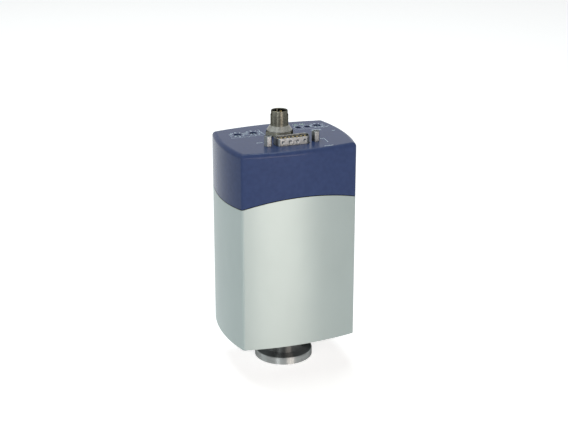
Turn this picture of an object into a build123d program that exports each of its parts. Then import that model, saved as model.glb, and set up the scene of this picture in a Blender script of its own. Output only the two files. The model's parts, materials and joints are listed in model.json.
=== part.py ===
from build123d import *
from math import radians, sqrt, tan
import os

# Combination vacuum gauge head: a flanged sensor tube below, a bowed metal
# housing round its electronics, and a moulded cap that carries the connectors.
# Millimetres. The origin is the centre of the flange's sealing face, +Z runs
# up the gauge axis, and the front of the housing faces -Y.

# Housing
housing_width = 80.0
housing_depth = 60.0
side_bow = 4.0
front_bow = 4.5
corner_radius = 2.0
inner_corner_radius = 0.8
shell_wall = 2.0
shell_height = 99.5
neck_height = 21.5
base_recess = 0.4
base_thickness = 3.0
base_gap = 0.15

# Cap
cap_height = 37.5
cap_wall = 2.2
cap_top = 2.5
top_round = 2.8
seam_rise = 5.7
gasket_thickness = 0.6
gasket_recess = 0.35

# Tie screws that pull cap, shell and base plate together
tie_inset_x = 4.4
tie_inset_y = 4.4
tie_boss_radius = 3.6
tie_screw_radius = 1.5
tie_hole_gap = 0.2
tie_head_radius = 2.8
tie_head_height = 1.5
tie_bite = 10.0
thread_gap = 0.04
key_socket_flats = 2.0
key_socket_depth = 1.2
cut_past = 1.0

# Sensor flange and tube
flange_radius = 20.0
rim_height = 5.0
rim_chamfer = 0.3
taper_angle = 15.0
neck_fillet = 0.8
tube_radius = 14.0
tube_bore = 12.0
centring_radius = 13.0
centring_depth = 3.0
port_radius = 12.5
baffle_seat = 9.0
tube_rise = 28.0
header_lip = 1.0
header_thickness = 3.0
weld_gap = 0.03

# Baffle at the gas inlet
baffle_thickness = 0.4
baffle_gap = 0.1
baffle_hole_radius = 1.9
baffle_inner_pitch = 4.2
baffle_outer_pitch = 9.0
ring_wire = 0.9
ring_arc = 325.0
groove_depth = 0.5

# Electrodes
pin_radius = 0.5
bead_radius = 1.4
pin_reach_in = 6.0
pin_reach_out = 7.0
grid_radius = 6.0
grid_turns = 6
grid_pitch = 3.0
grid_wire = 0.6
grid_tail = 2.0
hairpin_half = 2.6
hairpin_foot = 1.0
hairpin_bend = 0.8
hairpin_offset = 8.6
cathode_length = 18.0
cathode_wire = 0.4
thermal_length = 13.0
thermal_wire = 0.3
collector_wire = 0.4
collector_tail = 1.0

# Collar that grips the tube on the base plate
collar_radius = 19.0
collar_height = 8.0
collar_gap = 0.05
collar_screw_radius = 1.25
collar_screw_count = 3
collar_screw_bite = 5.0
collar_head_radius = 2.4
collar_key_flats = 1.6
set_screw_radius = 2.0
set_screw_length = 4.6
set_socket_depth = 2.0
key_hole_radius = 1.7

# Boards
board_thickness = 1.6
board_offset = 17.5
board_edge_gap = 0.3
board_foot_gap = 0.2
board_notch_width = 20.0
board_notch_height = 14.0
board_headroom = 15.5
rail_gap = 0.15
rail_thickness = 1.2
rail_grip = 1.8
sensor_board_width = 46.0
sensor_board_gap = 0.2
socket_radius = 1.1
socket_depth = 6.4
socket_gap = 0.05
panel_board_drop = 7.0
panel_board_gap = 1.0

# Components on the boards
core_width = 24.0
core_height = 18.0
core_depth = 9.0
core_leg = 4.0
core_yoke = 3.0
core_z = 100.0
coil_depth = 13.0
coil_gap = 0.2
capacitor_radius = 4.0
capacitor_length = 11.0
capacitor_places = [(-24.0, 82.0), (-24.0, 94.0), (-24.0, 106.0), (24.0, 82.0)]
relay_width = 10.0
relay_depth = 8.0
relay_height = 20.0
relay_places = [(-18.0, 100.0), (-4.0, 100.0)]
chip_side = 10.0
chip_height = 1.8
chip_places = [(14.0, 86.0), (28.0, 86.0), (14.0, 102.0), (28.0, 102.0), (20.0, 118.0)]
header_width = 30.0
header_depth = 5.0
sensor_header_height = 8.5
panel_header_height = 12.0
component_gap = 0.1

# D-shaped connector
dsub_y = -15.7
dsub_rise = 4.9
dsub_width = 25.0
dsub_depth = 8.4
dsub_angle = 10.0
dsub_corner = 2.4
dsub_sheet = 0.5
dsub_plate_margin = 2.94
dsub_plate_depth = 12.5
dsub_plate_thickness = 0.8
dsub_plate_corner = 1.5
dsub_land = 0.8
dsub_cut_gap = 0.4
dsub_cavity = 5.9
dsub_rear_height = 3.6
dsub_pitch = 2.77
dsub_row_half = 1.42
dsub_pin_radius = 0.5
dsub_pin_setback = 1.0
dsub_long_row = 8
contact_tip = 0.2
dimple_count = 4
dimple_pitch = 5.0
dimple_rise = 3.0
dimple_radius = 0.95
dimple_floor_radius = 0.45
dimple_depth = 0.3
jack_spacing = 33.32
jack_flats = 4.76
jack_height = 6.6
jack_thread = 1.42
jack_tapping = 1.15
jack_stud_tail = 0.5
jack_hole_gap = 0.15
jack_bore_depth = 5.0
jack_nut_height = 2.4

# Round screw connector
round_y = 7.4
round_thread = 6.0
round_rise = 16.5
round_lead = 5.6
round_lead_height = 3.0
round_flange_flats = 17.0
round_flange_height = 2.4
round_mouth_chamfer = 0.3
hexagon_cut_slope = 1.732
round_neck_radius = 7.0
round_neck_height = 0.8
round_mount_thread = 8.0
round_mount_length = 5.0
round_bore = 4.95
round_cavity = 8.0
round_sleeve = 0.4
round_sleeve_drop = 0.5
round_pin_circle = 2.6
round_pin_radius = 0.5
round_pin_setback = 1.4
round_pin_count = 4
round_key_width = 1.0
round_key_depth = 0.6
round_nut_flats = 20.0
round_nut_height = 3.0
seal_thickness = 0.4
seal_width = 1.2
panel_hole_gap = 0.15

# Operating elements under the cap
address_inset = 13.0
address_pitch = 11.0
address_y = 15.0
data_rate_inset = 9.0
data_rate_y = 17.0
case_corner = 0.4
switch_side = 7.2
switch_height = 6.4
switch_stem = 1.9
switch_disc = 2.8
switch_window = 2.5
switch_sink = 0.7
trimmer_offset = 7.2
trimmer_pitch = 6.6
trimmer_side = 6.0
trimmer_height = 5.5
trimmer_stem = 1.4
trimmer_disc = 2.2
trimmer_window = 1.9
trimmer_sink = 1.0
rotor_floor = 1.4
rotor_disc_height = 1.2
rotor_gap = 0.05
rotor_slot_width = 0.7
rotor_slot_depth = 1.0
light_offset = 8.5
light_pitch = 5.0
light_inset = 7.0
light_radius = 1.25
light_collar = 1.9
light_collar_height = 1.2
light_gap = 0.1
led_side = 3.0
led_height = 1.6

# Posts moulded inside the cap for the panel board
side_post_inset = 6.5
side_post_y = -4.0
rear_post_x = 10.5
rear_post_inset = 6.0
panel_post_radius = 2.6
panel_screw_radius = 1.0
panel_screw_bite = 4.5
panel_head_radius = 1.9
panel_head_height = 1.3

# Levels and places that follow from the sizes above
half_x = housing_width / 2
half_y = housing_depth / 2
housing_z = neck_height
base_z = housing_z + base_recess
floor_z = base_z + base_thickness
seam_z = housing_z + shell_height
top_z = seam_z + cap_height
panel_z = top_z - cap_top
seam_radius = (half_x**2 + seam_rise**2) / (2 * seam_rise)
seam_centre_z = seam_z + seam_rise - seam_radius
tie_x = half_x - tie_inset_x
tie_y = half_y - tie_inset_y
tie_places = [(sx * tie_x, sy * tie_y) for sx in (-1, 1) for sy in (-1, 1)]
tie_tip_z = seam_z + tie_bite
tube_top_z = housing_z + tube_rise
header_z = tube_top_z - header_thickness
electrode_z = header_z - pin_reach_in
pin_top_z = tube_top_z + pin_reach_out
sensor_board_z = pin_top_z + socket_gap
panel_board_z = panel_z - panel_board_drop
board_foot_z = floor_z + board_foot_gap
board_top_z = panel_z - board_headroom
taper_run = flange_radius - tube_radius
taper_rise = taper_run * tan(radians(taper_angle))
dsub_plate_z = top_z - dsub_land
dsub_rim_z = top_z + dsub_rise
dsub_face_z = dsub_rim_z - dsub_cavity
jack_places = [(-jack_spacing / 2, dsub_y), (jack_spacing / 2, dsub_y)]
dsub_plate_width = jack_spacing + 2 * dsub_plate_margin
round_rim_z = top_z + round_rise
address_x = address_inset - half_x
data_rate_x = half_x - data_rate_inset
switch_places = [
    (address_x, address_y), (address_x + address_pitch, address_y), (data_rate_x, data_rate_y),
]
trimmer_x = data_rate_x - trimmer_offset
trimmer_places = [(trimmer_x - trimmer_pitch, data_rate_y), (trimmer_x, data_rate_y)]
light_x = data_rate_x - light_offset
light_y = half_y - light_inset
light_places = [(light_x - light_pitch, light_y), (light_x, light_y)]
side_post_x = half_x - side_post_inset
rear_post_y = half_y - rear_post_inset
panel_post_places = [
    (-side_post_x, side_post_y), (side_post_x, side_post_y),
    (-rear_post_x, rear_post_y), (rear_post_x, rear_post_y),
]
collar_pitch = (tube_radius + collar_radius) / 2
set_screw_z = floor_z + collar_height / 2


def bow_height(offset, half_span, sagitta):
    """Height of a bowed side above its chord, at an offset from its middle."""
    radius = (half_span**2 + sagitta**2) / (2 * sagitta)
    return sqrt(radius**2 - offset**2) - (radius - sagitta)


def side_wall_x(inset, y):
    """Distance of the side wall's surface from the middle, at a given y."""
    return half_x - inset + bow_height(y, half_y - inset, side_bow)


def bowed_outline(inset, corner):
    """Plan of the housing: four shallow arcs, moved in by inset."""
    x = half_x - inset
    y = half_y - inset
    with BuildSketch() as outline:
        with BuildLine():
            ThreePointArc((-x, -y), (0, -y - front_bow), (x, -y))
            ThreePointArc((x, -y), (x + side_bow, 0), (x, y))
            ThreePointArc((x, y), (0, y + front_bow), (-x, y))
            ThreePointArc((-x, y), (-x - side_bow, 0), (-x, -y))
        make_face()
        fillet(outline.vertices(), radius=corner)
    return outline.sketch


def connector_outline(growth):
    """D-shaped plan of the rectangular connector, wide side to the rear."""
    half_depth = dsub_depth / 2 + growth
    lean = tan(radians(dsub_angle))
    rear = dsub_width / 2 + growth + growth * lean
    front = rear - 2 * half_depth * lean
    with BuildSketch() as outline:
        with BuildLine():
            Polyline(
                (-rear, half_depth), (rear, half_depth),
                (front, -half_depth), (-front, -half_depth), close=True,
            )
        make_face()
        fillet(outline.vertices(), radius=max(dsub_corner + growth, dsub_corner / 4))
    return outline.sketch


def seam_cylinder(growth, keep):
    """Large cylinder across the housing whose top is the arched seam."""
    with Locations((0, 0, seam_centre_z)):
        Cylinder(seam_radius + growth, 4 * housing_depth, rotation=(90, 0, 0), mode=keep)


os.makedirs("parts", exist_ok=True)

# Sensor tube: flange, neck and tube turned from one bar
with BuildPart() as sensor_tube:
    with BuildSketch(Plane.XZ):
        with BuildLine():
            Polyline(
                (centring_radius, 0), (flange_radius, 0), (flange_radius, rim_height),
                (tube_radius, rim_height + taper_rise), (tube_radius, tube_top_z),
                (tube_bore + header_lip, tube_top_z), (tube_bore + header_lip, header_z),
                (tube_bore, header_z), (tube_bore, baffle_seat), (port_radius, baffle_seat),
                (port_radius, centring_depth), (centring_radius, centring_depth), close=True,
            )
        make_face()
        with Locations((port_radius, baffle_seat - baffle_thickness - ring_wire / 2)):
            Rectangle(2 * groove_depth, ring_wire + baffle_gap, mode=Mode.SUBTRACT)
    revolve(axis=Axis.Z)
    rim_edges = sensor_tube.edges().filter_by(GeomType.CIRCLE).filter_by(
        lambda edge: abs(edge.radius - flange_radius) < 0.01
    )
    chamfer(rim_edges, length=rim_chamfer)
    neck_edge = sensor_tube.edges().filter_by(GeomType.CIRCLE).filter_by(
        lambda edge: abs(edge.radius - tube_radius) < 0.01
    ).sort_by(Axis.Z)[0]
    fillet(neck_edge, radius=neck_fillet)
sensor_tube.part.label = "sensor_tube"
export_step(sensor_tube.part, "parts/sensor_tube.step")

# Inlet baffle: a pierced disc against its seat in the port
with BuildPart() as inlet_baffle:
    with BuildSketch(Plane.XY.offset(baffle_seat - baffle_thickness)):
        Circle(port_radius - baffle_gap)
        with PolarLocations(baffle_inner_pitch, 4):
            Circle(baffle_hole_radius, mode=Mode.SUBTRACT)
        with PolarLocations(baffle_outer_pitch, 8):
            Circle(baffle_hole_radius, mode=Mode.SUBTRACT)
    extrude(amount=baffle_thickness)
inlet_baffle.part.label = "inlet_baffle"
export_step(inlet_baffle.part, "parts/inlet_baffle.step")

# Spring ring that holds the baffle in its groove
with BuildPart() as baffle_ring:
    with BuildSketch(Plane.XZ):
        with Locations((port_radius, baffle_seat - baffle_thickness - ring_wire / 2)):
            Rectangle(2 * groove_depth - baffle_gap, ring_wire)
    revolve(axis=Axis.Z, revolution_arc=ring_arc)
baffle_ring.part.label = "baffle_ring"
export_step(baffle_ring.part, "parts/baffle_ring.step")

# Where each conductor passes the header
grid_pins = [(-grid_radius, 0), (grid_radius, 0)]
cathode_pins = [(-hairpin_half, hairpin_offset), (hairpin_half, hairpin_offset)]
thermal_pins = [(-hairpin_half, -hairpin_offset), (hairpin_half, -hairpin_offset)]
pin_places = [(0, 0)] + grid_pins + cathode_pins + thermal_pins

# Header plate, welded into the top of the tube
with BuildPart() as header_plate:
    with BuildSketch(Plane.XY.offset(header_z)):
        Circle(tube_bore + header_lip - weld_gap)
        with Locations(*pin_places):
            Circle(bead_radius + weld_gap, mode=Mode.SUBTRACT)
    extrude(amount=header_thickness)
header_plate.part.label = "header_plate"
export_step(header_plate.part, "parts/header_plate.step")

# Glass beads that insulate the pins in the header
with BuildPart() as header_beads:
    with BuildSketch(Plane.XY.offset(header_z)):
        with Locations(*pin_places):
            Circle(bead_radius)
            Circle(pin_radius + weld_gap, mode=Mode.SUBTRACT)
    extrude(amount=header_thickness)
header_beads.part.label = "header_beads"
export_step(header_beads.part, "parts/header_beads.step")

# Feedthrough pins, from the electrodes up into the board's sockets
with BuildPart() as header_pins:
    with BuildSketch(Plane.XY.offset(electrode_z)):
        with Locations(*pin_places):
            Circle(pin_radius)
    extrude(amount=pin_top_z - electrode_z)
header_pins.part.label = "header_pins"
export_step(header_pins.part, "parts/header_pins.step")

# Anode grid: a wire helix welded to two side posts
grid_height = grid_turns * grid_pitch
with BuildPart() as anode_grid:
    with BuildSketch(Plane.XY.offset(electrode_z - grid_tail - grid_height - grid_wire)):
        with Locations(*grid_pins):
            Circle(pin_radius)
    extrude(amount=grid_tail + grid_height + grid_wire)
    with BuildLine(Plane.XY.offset(electrode_z - grid_tail - grid_height)) as grid_path:
        Helix(pitch=grid_pitch, height=grid_height, radius=grid_radius)
    with BuildSketch(Plane(grid_path.line @ 0, z_dir=grid_path.line % 0)):
        Rectangle(grid_wire, grid_wire)
    sweep(path=grid_path.line, is_frenet=True)
anode_grid.part.label = "anode_grid"
export_step(anode_grid.part, "parts/anode_grid.step")


def hairpin_points(offset, length):
    """Corners of a hairpin wire that hangs from two pins."""
    return [
        (-hairpin_half, offset, electrode_z),
        (-hairpin_foot, offset, electrode_z - length),
        (hairpin_foot, offset, electrode_z - length),
        (hairpin_half, offset, electrode_z),
    ]


# Hot cathode: a hairpin wire beside the grid
with BuildPart() as cathode_filament:
    with BuildLine() as cathode_path:
        FilletPolyline(*hairpin_points(hairpin_offset, cathode_length), radius=hairpin_bend)
    with BuildSketch(Plane(cathode_path.line @ 0, z_dir=cathode_path.line % 0)):
        Circle(cathode_wire / 2)
    sweep(path=cathode_path.line)
cathode_filament.part.label = "cathode_filament"
export_step(cathode_filament.part, "parts/cathode_filament.step")

# Thermal filament for the coarse range, on the other side of the grid
with BuildPart() as thermal_filament:
    with BuildLine() as thermal_path:
        FilletPolyline(*hairpin_points(-hairpin_offset, thermal_length), radius=hairpin_bend)
    with BuildSketch(Plane(thermal_path.line @ 0, z_dir=thermal_path.line % 0)):
        Circle(thermal_wire / 2)
    sweep(path=thermal_path.line)
thermal_filament.part.label = "thermal_filament"
export_step(thermal_filament.part, "parts/thermal_filament.step")

# Ion collector: a thin straight wire on the grid's axis
with BuildPart() as ion_collector:
    with BuildSketch(Plane.XY.offset(electrode_z - grid_tail - grid_height + collector_tail)):
        Circle(collector_wire / 2)
    extrude(amount=grid_tail + grid_height - collector_tail)
ion_collector.part.label = "ion_collector"
export_step(ion_collector.part, "parts/ion_collector.step")

# Collar round the tube, screwed down on the base plate
with BuildPart() as tube_collar:
    with BuildSketch(Plane.XY.offset(floor_z)):
        Circle(collar_radius)
        Circle(tube_radius + collar_gap, mode=Mode.SUBTRACT)
    extrude(amount=collar_height)
    with BuildSketch(Plane.XY.offset(floor_z)):
        with PolarLocations(collar_pitch, collar_screw_count, start_angle=-90):
            Circle(collar_screw_radius + thread_gap)
    extrude(amount=collar_screw_bite + cut_past / 2, mode=Mode.SUBTRACT)
    with BuildSketch(Plane.XZ):
        with Locations((0, set_screw_z)):
            Circle(set_screw_radius + thread_gap)
    extrude(amount=-collar_radius - cut_past, mode=Mode.SUBTRACT)
tube_collar.part.label = "tube_collar"
export_step(tube_collar.part, "parts/tube_collar.step")

# Set screw that locks the tube in the collar, with a hexagon socket
with BuildPart() as set_screw:
    with BuildSketch(Plane.XZ.offset(-tube_radius - collar_gap)):
        with Locations((0, set_screw_z)):
            Circle(set_screw_radius)
    extrude(amount=-set_screw_length)
    with BuildSketch(Plane.XZ.offset(-tube_radius - collar_gap - set_screw_length)):
        with Locations((0, set_screw_z)):
            RegularPolygon(key_socket_flats / 2, 6, major_radius=False)
    extrude(amount=set_socket_depth, mode=Mode.SUBTRACT)
set_screw.part.label = "set_screw"
export_step(set_screw.part, "parts/set_screw.step")

# Housing shell: a bowed extrusion with screw channels and board rails
rail_end_x = side_wall_x(shell_wall, board_offset) - board_edge_gap - rail_grip
rail_offset = (board_thickness + rail_thickness) / 2 + rail_gap
with BuildPart() as housing_shell:
    with BuildSketch(Plane.XY.offset(housing_z)):
        add(bowed_outline(0, corner_radius))
        add(bowed_outline(shell_wall, inner_corner_radius), mode=Mode.SUBTRACT)
    extrude(amount=shell_height + seam_rise)
    with BuildSketch(Plane.XY.offset(floor_z)) as channels:
        with Locations(*tie_places):
            Circle(tie_boss_radius)
        for board_y in (-board_offset, board_offset):
            for rib_y in (board_y - rail_offset, board_y + rail_offset):
                root_x = side_wall_x(shell_wall / 2, rib_y)
                for side in (-1, 1):
                    with Locations((side * (root_x + rail_end_x) / 2, rib_y)):
                        Rectangle(root_x - rail_end_x, rail_thickness)
        add(bowed_outline(shell_wall / 2, inner_corner_radius), mode=Mode.INTERSECT)
        with Locations(*tie_places):
            Circle(tie_screw_radius + tie_hole_gap, mode=Mode.SUBTRACT)
    extrude(amount=seam_z + seam_rise - floor_z)
    seam_cylinder(0, Mode.INTERSECT)
    with BuildSketch(Plane.XZ.offset(-half_y)):
        with Locations((0, set_screw_z)):
            Circle(key_hole_radius)
    extrude(amount=-2 * front_bow, mode=Mode.SUBTRACT)
housing_shell.part.label = "housing_shell"
export_step(housing_shell.part, "parts/housing_shell.step")

# Base plate, let into the bottom of the shell
with BuildPart() as base_plate:
    with BuildSketch(Plane.XY.offset(base_z)):
        add(bowed_outline(shell_wall + base_gap, inner_corner_radius))
        Circle(tube_radius + tie_hole_gap, mode=Mode.SUBTRACT)
        with Locations(*tie_places):
            Circle(tie_screw_radius + tie_hole_gap, mode=Mode.SUBTRACT)
        with PolarLocations(collar_pitch, collar_screw_count, start_angle=-90):
            Circle(collar_screw_radius + tie_hole_gap, mode=Mode.SUBTRACT)
    extrude(amount=base_thickness)
    with Locations(*[(x, y, base_z + tie_head_height / 2) for x, y in tie_places]):
        Cone(
            tie_head_radius + tie_hole_gap, tie_screw_radius + tie_hole_gap,
            tie_head_height, mode=Mode.SUBTRACT,
        )
    with Locations((0, 0, base_z + tie_head_height / 2)):
        with PolarLocations(collar_pitch, collar_screw_count, start_angle=-90):
            Cone(
                collar_head_radius + tie_hole_gap, collar_screw_radius + tie_hole_gap,
                tie_head_height, mode=Mode.SUBTRACT,
            )
base_plate.part.label = "base_plate"
export_step(base_plate.part, "parts/base_plate.step")

# Tie screws: countersunk, from the base plate up into the cap
with BuildPart() as tie_screws:
    with BuildSketch(Plane.XY.offset(base_z)):
        with Locations(*tie_places):
            Circle(tie_screw_radius)
    extrude(amount=tie_tip_z - base_z)
    with Locations(*[(x, y, base_z + tie_head_height / 2) for x, y in tie_places]):
        Cone(tie_head_radius, tie_screw_radius, tie_head_height)
    with BuildSketch(Plane.XY.offset(base_z)):
        with Locations(*tie_places):
            RegularPolygon(key_socket_flats / 2, 6, major_radius=False)
    extrude(amount=key_socket_depth, mode=Mode.SUBTRACT)
tie_screws.part.label = "tie_screws"
export_step(tie_screws.part, "parts/tie_screws.step")

# Short screws that hold the collar on the base plate
with BuildPart() as collar_screws:
    with BuildSketch(Plane.XY.offset(base_z)):
        with PolarLocations(collar_pitch, collar_screw_count, start_angle=-90):
            Circle(collar_screw_radius)
    extrude(amount=base_thickness + collar_screw_bite)
    with Locations((0, 0, base_z + tie_head_height / 2)):
        with PolarLocations(collar_pitch, collar_screw_count, start_angle=-90):
            Cone(collar_head_radius, collar_screw_radius, tie_head_height)
    with BuildSketch(Plane.XY.offset(base_z)):
        with PolarLocations(collar_pitch, collar_screw_count, start_angle=-90):
            RegularPolygon(collar_key_flats / 2, 6, major_radius=False)
    extrude(amount=key_socket_depth, mode=Mode.SUBTRACT)
collar_screws.part.label = "collar_screws"
export_step(collar_screws.part, "parts/collar_screws.step")

# Seam gasket: a thin ring that follows the arched seam
with BuildPart() as seam_gasket:
    with BuildSketch(Plane.XY.offset(housing_z)):
        add(bowed_outline(gasket_recess, corner_radius))
        add(bowed_outline(shell_wall, inner_corner_radius), mode=Mode.SUBTRACT)
    extrude(amount=shell_height + seam_rise + 2 * gasket_thickness)
    seam_cylinder(gasket_thickness, Mode.INTERSECT)
    seam_cylinder(0, Mode.SUBTRACT)
seam_gasket.part.label = "seam_gasket"
export_step(seam_gasket.part, "parts/seam_gasket.step")

# Cap: moulded shell with a rounded top, bosses inside and the panel openings
with BuildPart() as top_cap:
    with BuildSketch(Plane.XY.offset(housing_z)):
        add(bowed_outline(0, corner_radius))
    extrude(amount=top_z - housing_z)
    top_edges = top_cap.faces().sort_by(Axis.Z)[-1].outer_wire().edges()
    fillet(top_edges, radius=top_round)
    with BuildSketch(Plane.XY.offset(housing_z)):
        add(bowed_outline(cap_wall, inner_corner_radius))
    extrude(amount=panel_z - housing_z, mode=Mode.SUBTRACT)
    with BuildSketch(Plane.XY.offset(housing_z)):
        with Locations(*tie_places):
            Circle(tie_boss_radius)
        add(bowed_outline(cap_wall / 2, inner_corner_radius), mode=Mode.INTERSECT)
    extrude(amount=panel_z - housing_z)
    with BuildSketch(Plane.XY.offset(panel_board_z)):
        with Locations(*panel_post_places):
            Circle(panel_post_radius)
    extrude(amount=panel_board_drop)
    seam_cylinder(gasket_thickness, Mode.SUBTRACT)
    with BuildSketch(Plane.XY.offset(housing_z)):
        with Locations(*tie_places):
            Circle(tie_screw_radius + thread_gap)
    extrude(amount=tie_tip_z + cut_past - housing_z, mode=Mode.SUBTRACT)
    with BuildSketch(Plane.XY.offset(panel_board_z)):
        with Locations(*panel_post_places):
            Circle(panel_screw_radius + thread_gap)
    extrude(amount=panel_screw_bite + cut_past / 2, mode=Mode.SUBTRACT)
    # The connector's plate lies in a pocket, under a thin land
    with BuildSketch(Plane.XY.offset(panel_z)):
        with Locations((0, dsub_y)):
            Rectangle(dsub_plate_width + 2 * dsub_cut_gap, dsub_plate_depth + 2 * dsub_cut_gap)
    extrude(amount=cap_top - dsub_land, mode=Mode.SUBTRACT)
    with BuildSketch(Plane.XY.offset(panel_z)):
        with Locations((0, dsub_y)):
            add(connector_outline(dsub_cut_gap))
        with Locations(*jack_places):
            Circle(jack_thread + jack_hole_gap)
        with Locations((0, round_y)):
            Circle(round_mount_thread + panel_hole_gap)
        with Locations(*switch_places):
            Circle(switch_window)
        with Locations(*trimmer_places):
            Circle(trimmer_window)
        with Locations(*light_places):
            Circle(light_radius + light_gap)
    extrude(amount=cap_top, mode=Mode.SUBTRACT)
top_cap.part.label = "top_cap"
export_step(top_cap.part, "parts/top_cap.step")

# Upright boards, one behind the sensor and one in front, in the shell's rails
board_half = min(
    side_wall_x(shell_wall, board_offset + board_thickness / 2),
    side_wall_x(cap_wall, board_offset + board_thickness / 2),
) - board_edge_gap
for board_name, board_y in (("rear_board", board_offset), ("front_board", -board_offset)):
    with BuildPart() as upright_board:
        with BuildSketch(Plane.XY.offset(board_foot_z)):
            with Locations((0, board_y)):
                Rectangle(2 * board_half, board_thickness)
        extrude(amount=board_top_z - board_foot_z)
        with BuildSketch(Plane.XY.offset(board_foot_z)):
            with Locations((0, board_y)):
                Rectangle(board_notch_width, 2 * board_thickness)
        extrude(amount=board_notch_height, mode=Mode.SUBTRACT)
    upright_board.part.label = board_name
    export_step(upright_board.part, f"parts/{board_name}.step")

# Sensor board, level between the upright boards
sensor_board_depth = 2 * board_offset - board_thickness - 2 * sensor_board_gap
with BuildPart() as sensor_board:
    with BuildSketch(Plane.XY.offset(sensor_board_z)):
        Rectangle(sensor_board_width, sensor_board_depth)
    extrude(amount=board_thickness)
sensor_board.part.label = "sensor_board"
export_step(sensor_board.part, "parts/sensor_board.step")

# Blocks of contacts that join the level boards to the upright ones
upright_face = board_offset - board_thickness / 2
header_y = upright_face - component_gap - header_depth / 2
with BuildPart() as sensor_headers:
    with BuildSketch(Plane.XY.offset(sensor_board_z + board_thickness)):
        with Locations((0, -header_y), (0, header_y)):
            Rectangle(header_width, header_depth)
    extrude(amount=sensor_header_height)
sensor_headers.part.label = "sensor_headers"
export_step(sensor_headers.part, "parts/sensor_headers.step")

with BuildPart() as panel_headers:
    with BuildSketch(Plane.XY.offset(panel_board_z - board_thickness)):
        with Locations((0, -header_y), (0, header_y)):
            Rectangle(header_width, header_depth)
    extrude(amount=-panel_header_height)
panel_headers.part.label = "panel_headers"
export_step(panel_headers.part, "parts/panel_headers.step")

# Transformer behind the rear board: a framed core with a coil on its middle leg
outer_face = board_offset + board_thickness / 2 + component_gap
core_y = outer_face + coil_depth / 2
window_width = (core_width - 3 * core_leg) / 2
window_height = core_height - 2 * core_yoke
with BuildPart() as transformer_core:
    with BuildSketch(Plane.XZ.offset(-core_y + core_depth / 2)):
        with Locations((0, core_z)):
            Rectangle(core_width, core_height)
        with Locations((0, core_z)):
            with GridLocations(core_leg + window_width, 1, 2, 1):
                Rectangle(window_width, window_height, mode=Mode.SUBTRACT)
    extrude(amount=-core_depth)
transformer_core.part.label = "transformer_core"
export_step(transformer_core.part, "parts/transformer_core.step")

with BuildPart() as transformer_coil:
    with BuildSketch(Plane.XY.offset(core_z - window_height / 2 + coil_gap)):
        with Locations((0, core_y)):
            Rectangle(core_leg + 2 * window_width - 2 * coil_gap, coil_depth)
            Rectangle(core_leg + 2 * coil_gap, core_depth + 2 * coil_gap, mode=Mode.SUBTRACT)
    extrude(amount=window_height - 2 * coil_gap)
transformer_coil.part.label = "transformer_coil"
export_step(transformer_coil.part, "parts/transformer_coil.step")

# Capacitors that stand out from the rear board
with BuildPart() as capacitors:
    with BuildSketch(Plane.XZ.offset(-outer_face)):
        with Locations(*capacitor_places):
            Circle(capacitor_radius)
    extrude(amount=-capacitor_length)
capacitors.part.label = "capacitors"
export_step(capacitors.part, "parts/capacitors.step")

# Set-point relays on the inner face of the front board
with BuildPart() as relays:
    with BuildSketch(Plane.XZ.offset(upright_face - component_gap)):
        with Locations(*relay_places):
            Rectangle(relay_width, relay_height)
    extrude(amount=-relay_depth)
relays.part.label = "relays"
export_step(relays.part, "parts/relays.step")

# Chips on the outer face of the front board
with BuildPart() as chips:
    with BuildSketch(Plane.XZ.offset(outer_face)):
        with Locations(*chip_places):
            Rectangle(chip_side, chip_side)
    extrude(amount=chip_height)
chips.part.label = "chips"
export_step(chips.part, "parts/chips.step")

# Sockets under the sensor board that plug onto the feedthrough pins
with BuildPart() as pin_sockets:
    with BuildSketch(Plane.XY.offset(sensor_board_z - socket_depth)):
        with Locations(*pin_places):
            Circle(socket_radius)
            Circle(pin_radius + socket_gap, mode=Mode.SUBTRACT)
    extrude(amount=socket_depth)
pin_sockets.part.label = "pin_sockets"
export_step(pin_sockets.part, "parts/pin_sockets.step")

# Panel board under the cap, with its corners cut for the screw channels
notch_x = tie_x - tie_boss_radius - panel_board_gap / 2
notch_y = tie_y - tie_boss_radius - panel_board_gap / 2
panel_half_x = side_wall_x(cap_wall, notch_y) - panel_board_gap
panel_half_y = half_y - cap_wall - panel_board_gap / 2
with BuildPart() as panel_board:
    with BuildSketch(Plane.XY.offset(panel_board_z - board_thickness)):
        Rectangle(2 * panel_half_x, 2 * notch_y)
        Rectangle(2 * notch_x, 2 * panel_half_y)
        with Locations(*panel_post_places):
            Circle(panel_screw_radius + jack_hole_gap, mode=Mode.SUBTRACT)
    extrude(amount=board_thickness)
panel_board.part.label = "panel_board"
export_step(panel_board.part, "parts/panel_board.step")

# Screws that hold the panel board on the cap's posts
with BuildPart() as panel_screws:
    with BuildSketch(Plane.XY.offset(panel_board_z - board_thickness)):
        with Locations(*panel_post_places):
            Circle(panel_screw_radius)
    extrude(amount=board_thickness + panel_screw_bite)
    with BuildSketch(Plane.XY.offset(panel_board_z - board_thickness - panel_head_height)):
        with Locations(*panel_post_places):
            Circle(panel_head_radius)
    extrude(amount=panel_head_height)
panel_screws.part.label = "panel_screws"
export_step(panel_screws.part, "parts/panel_screws.step")

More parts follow.
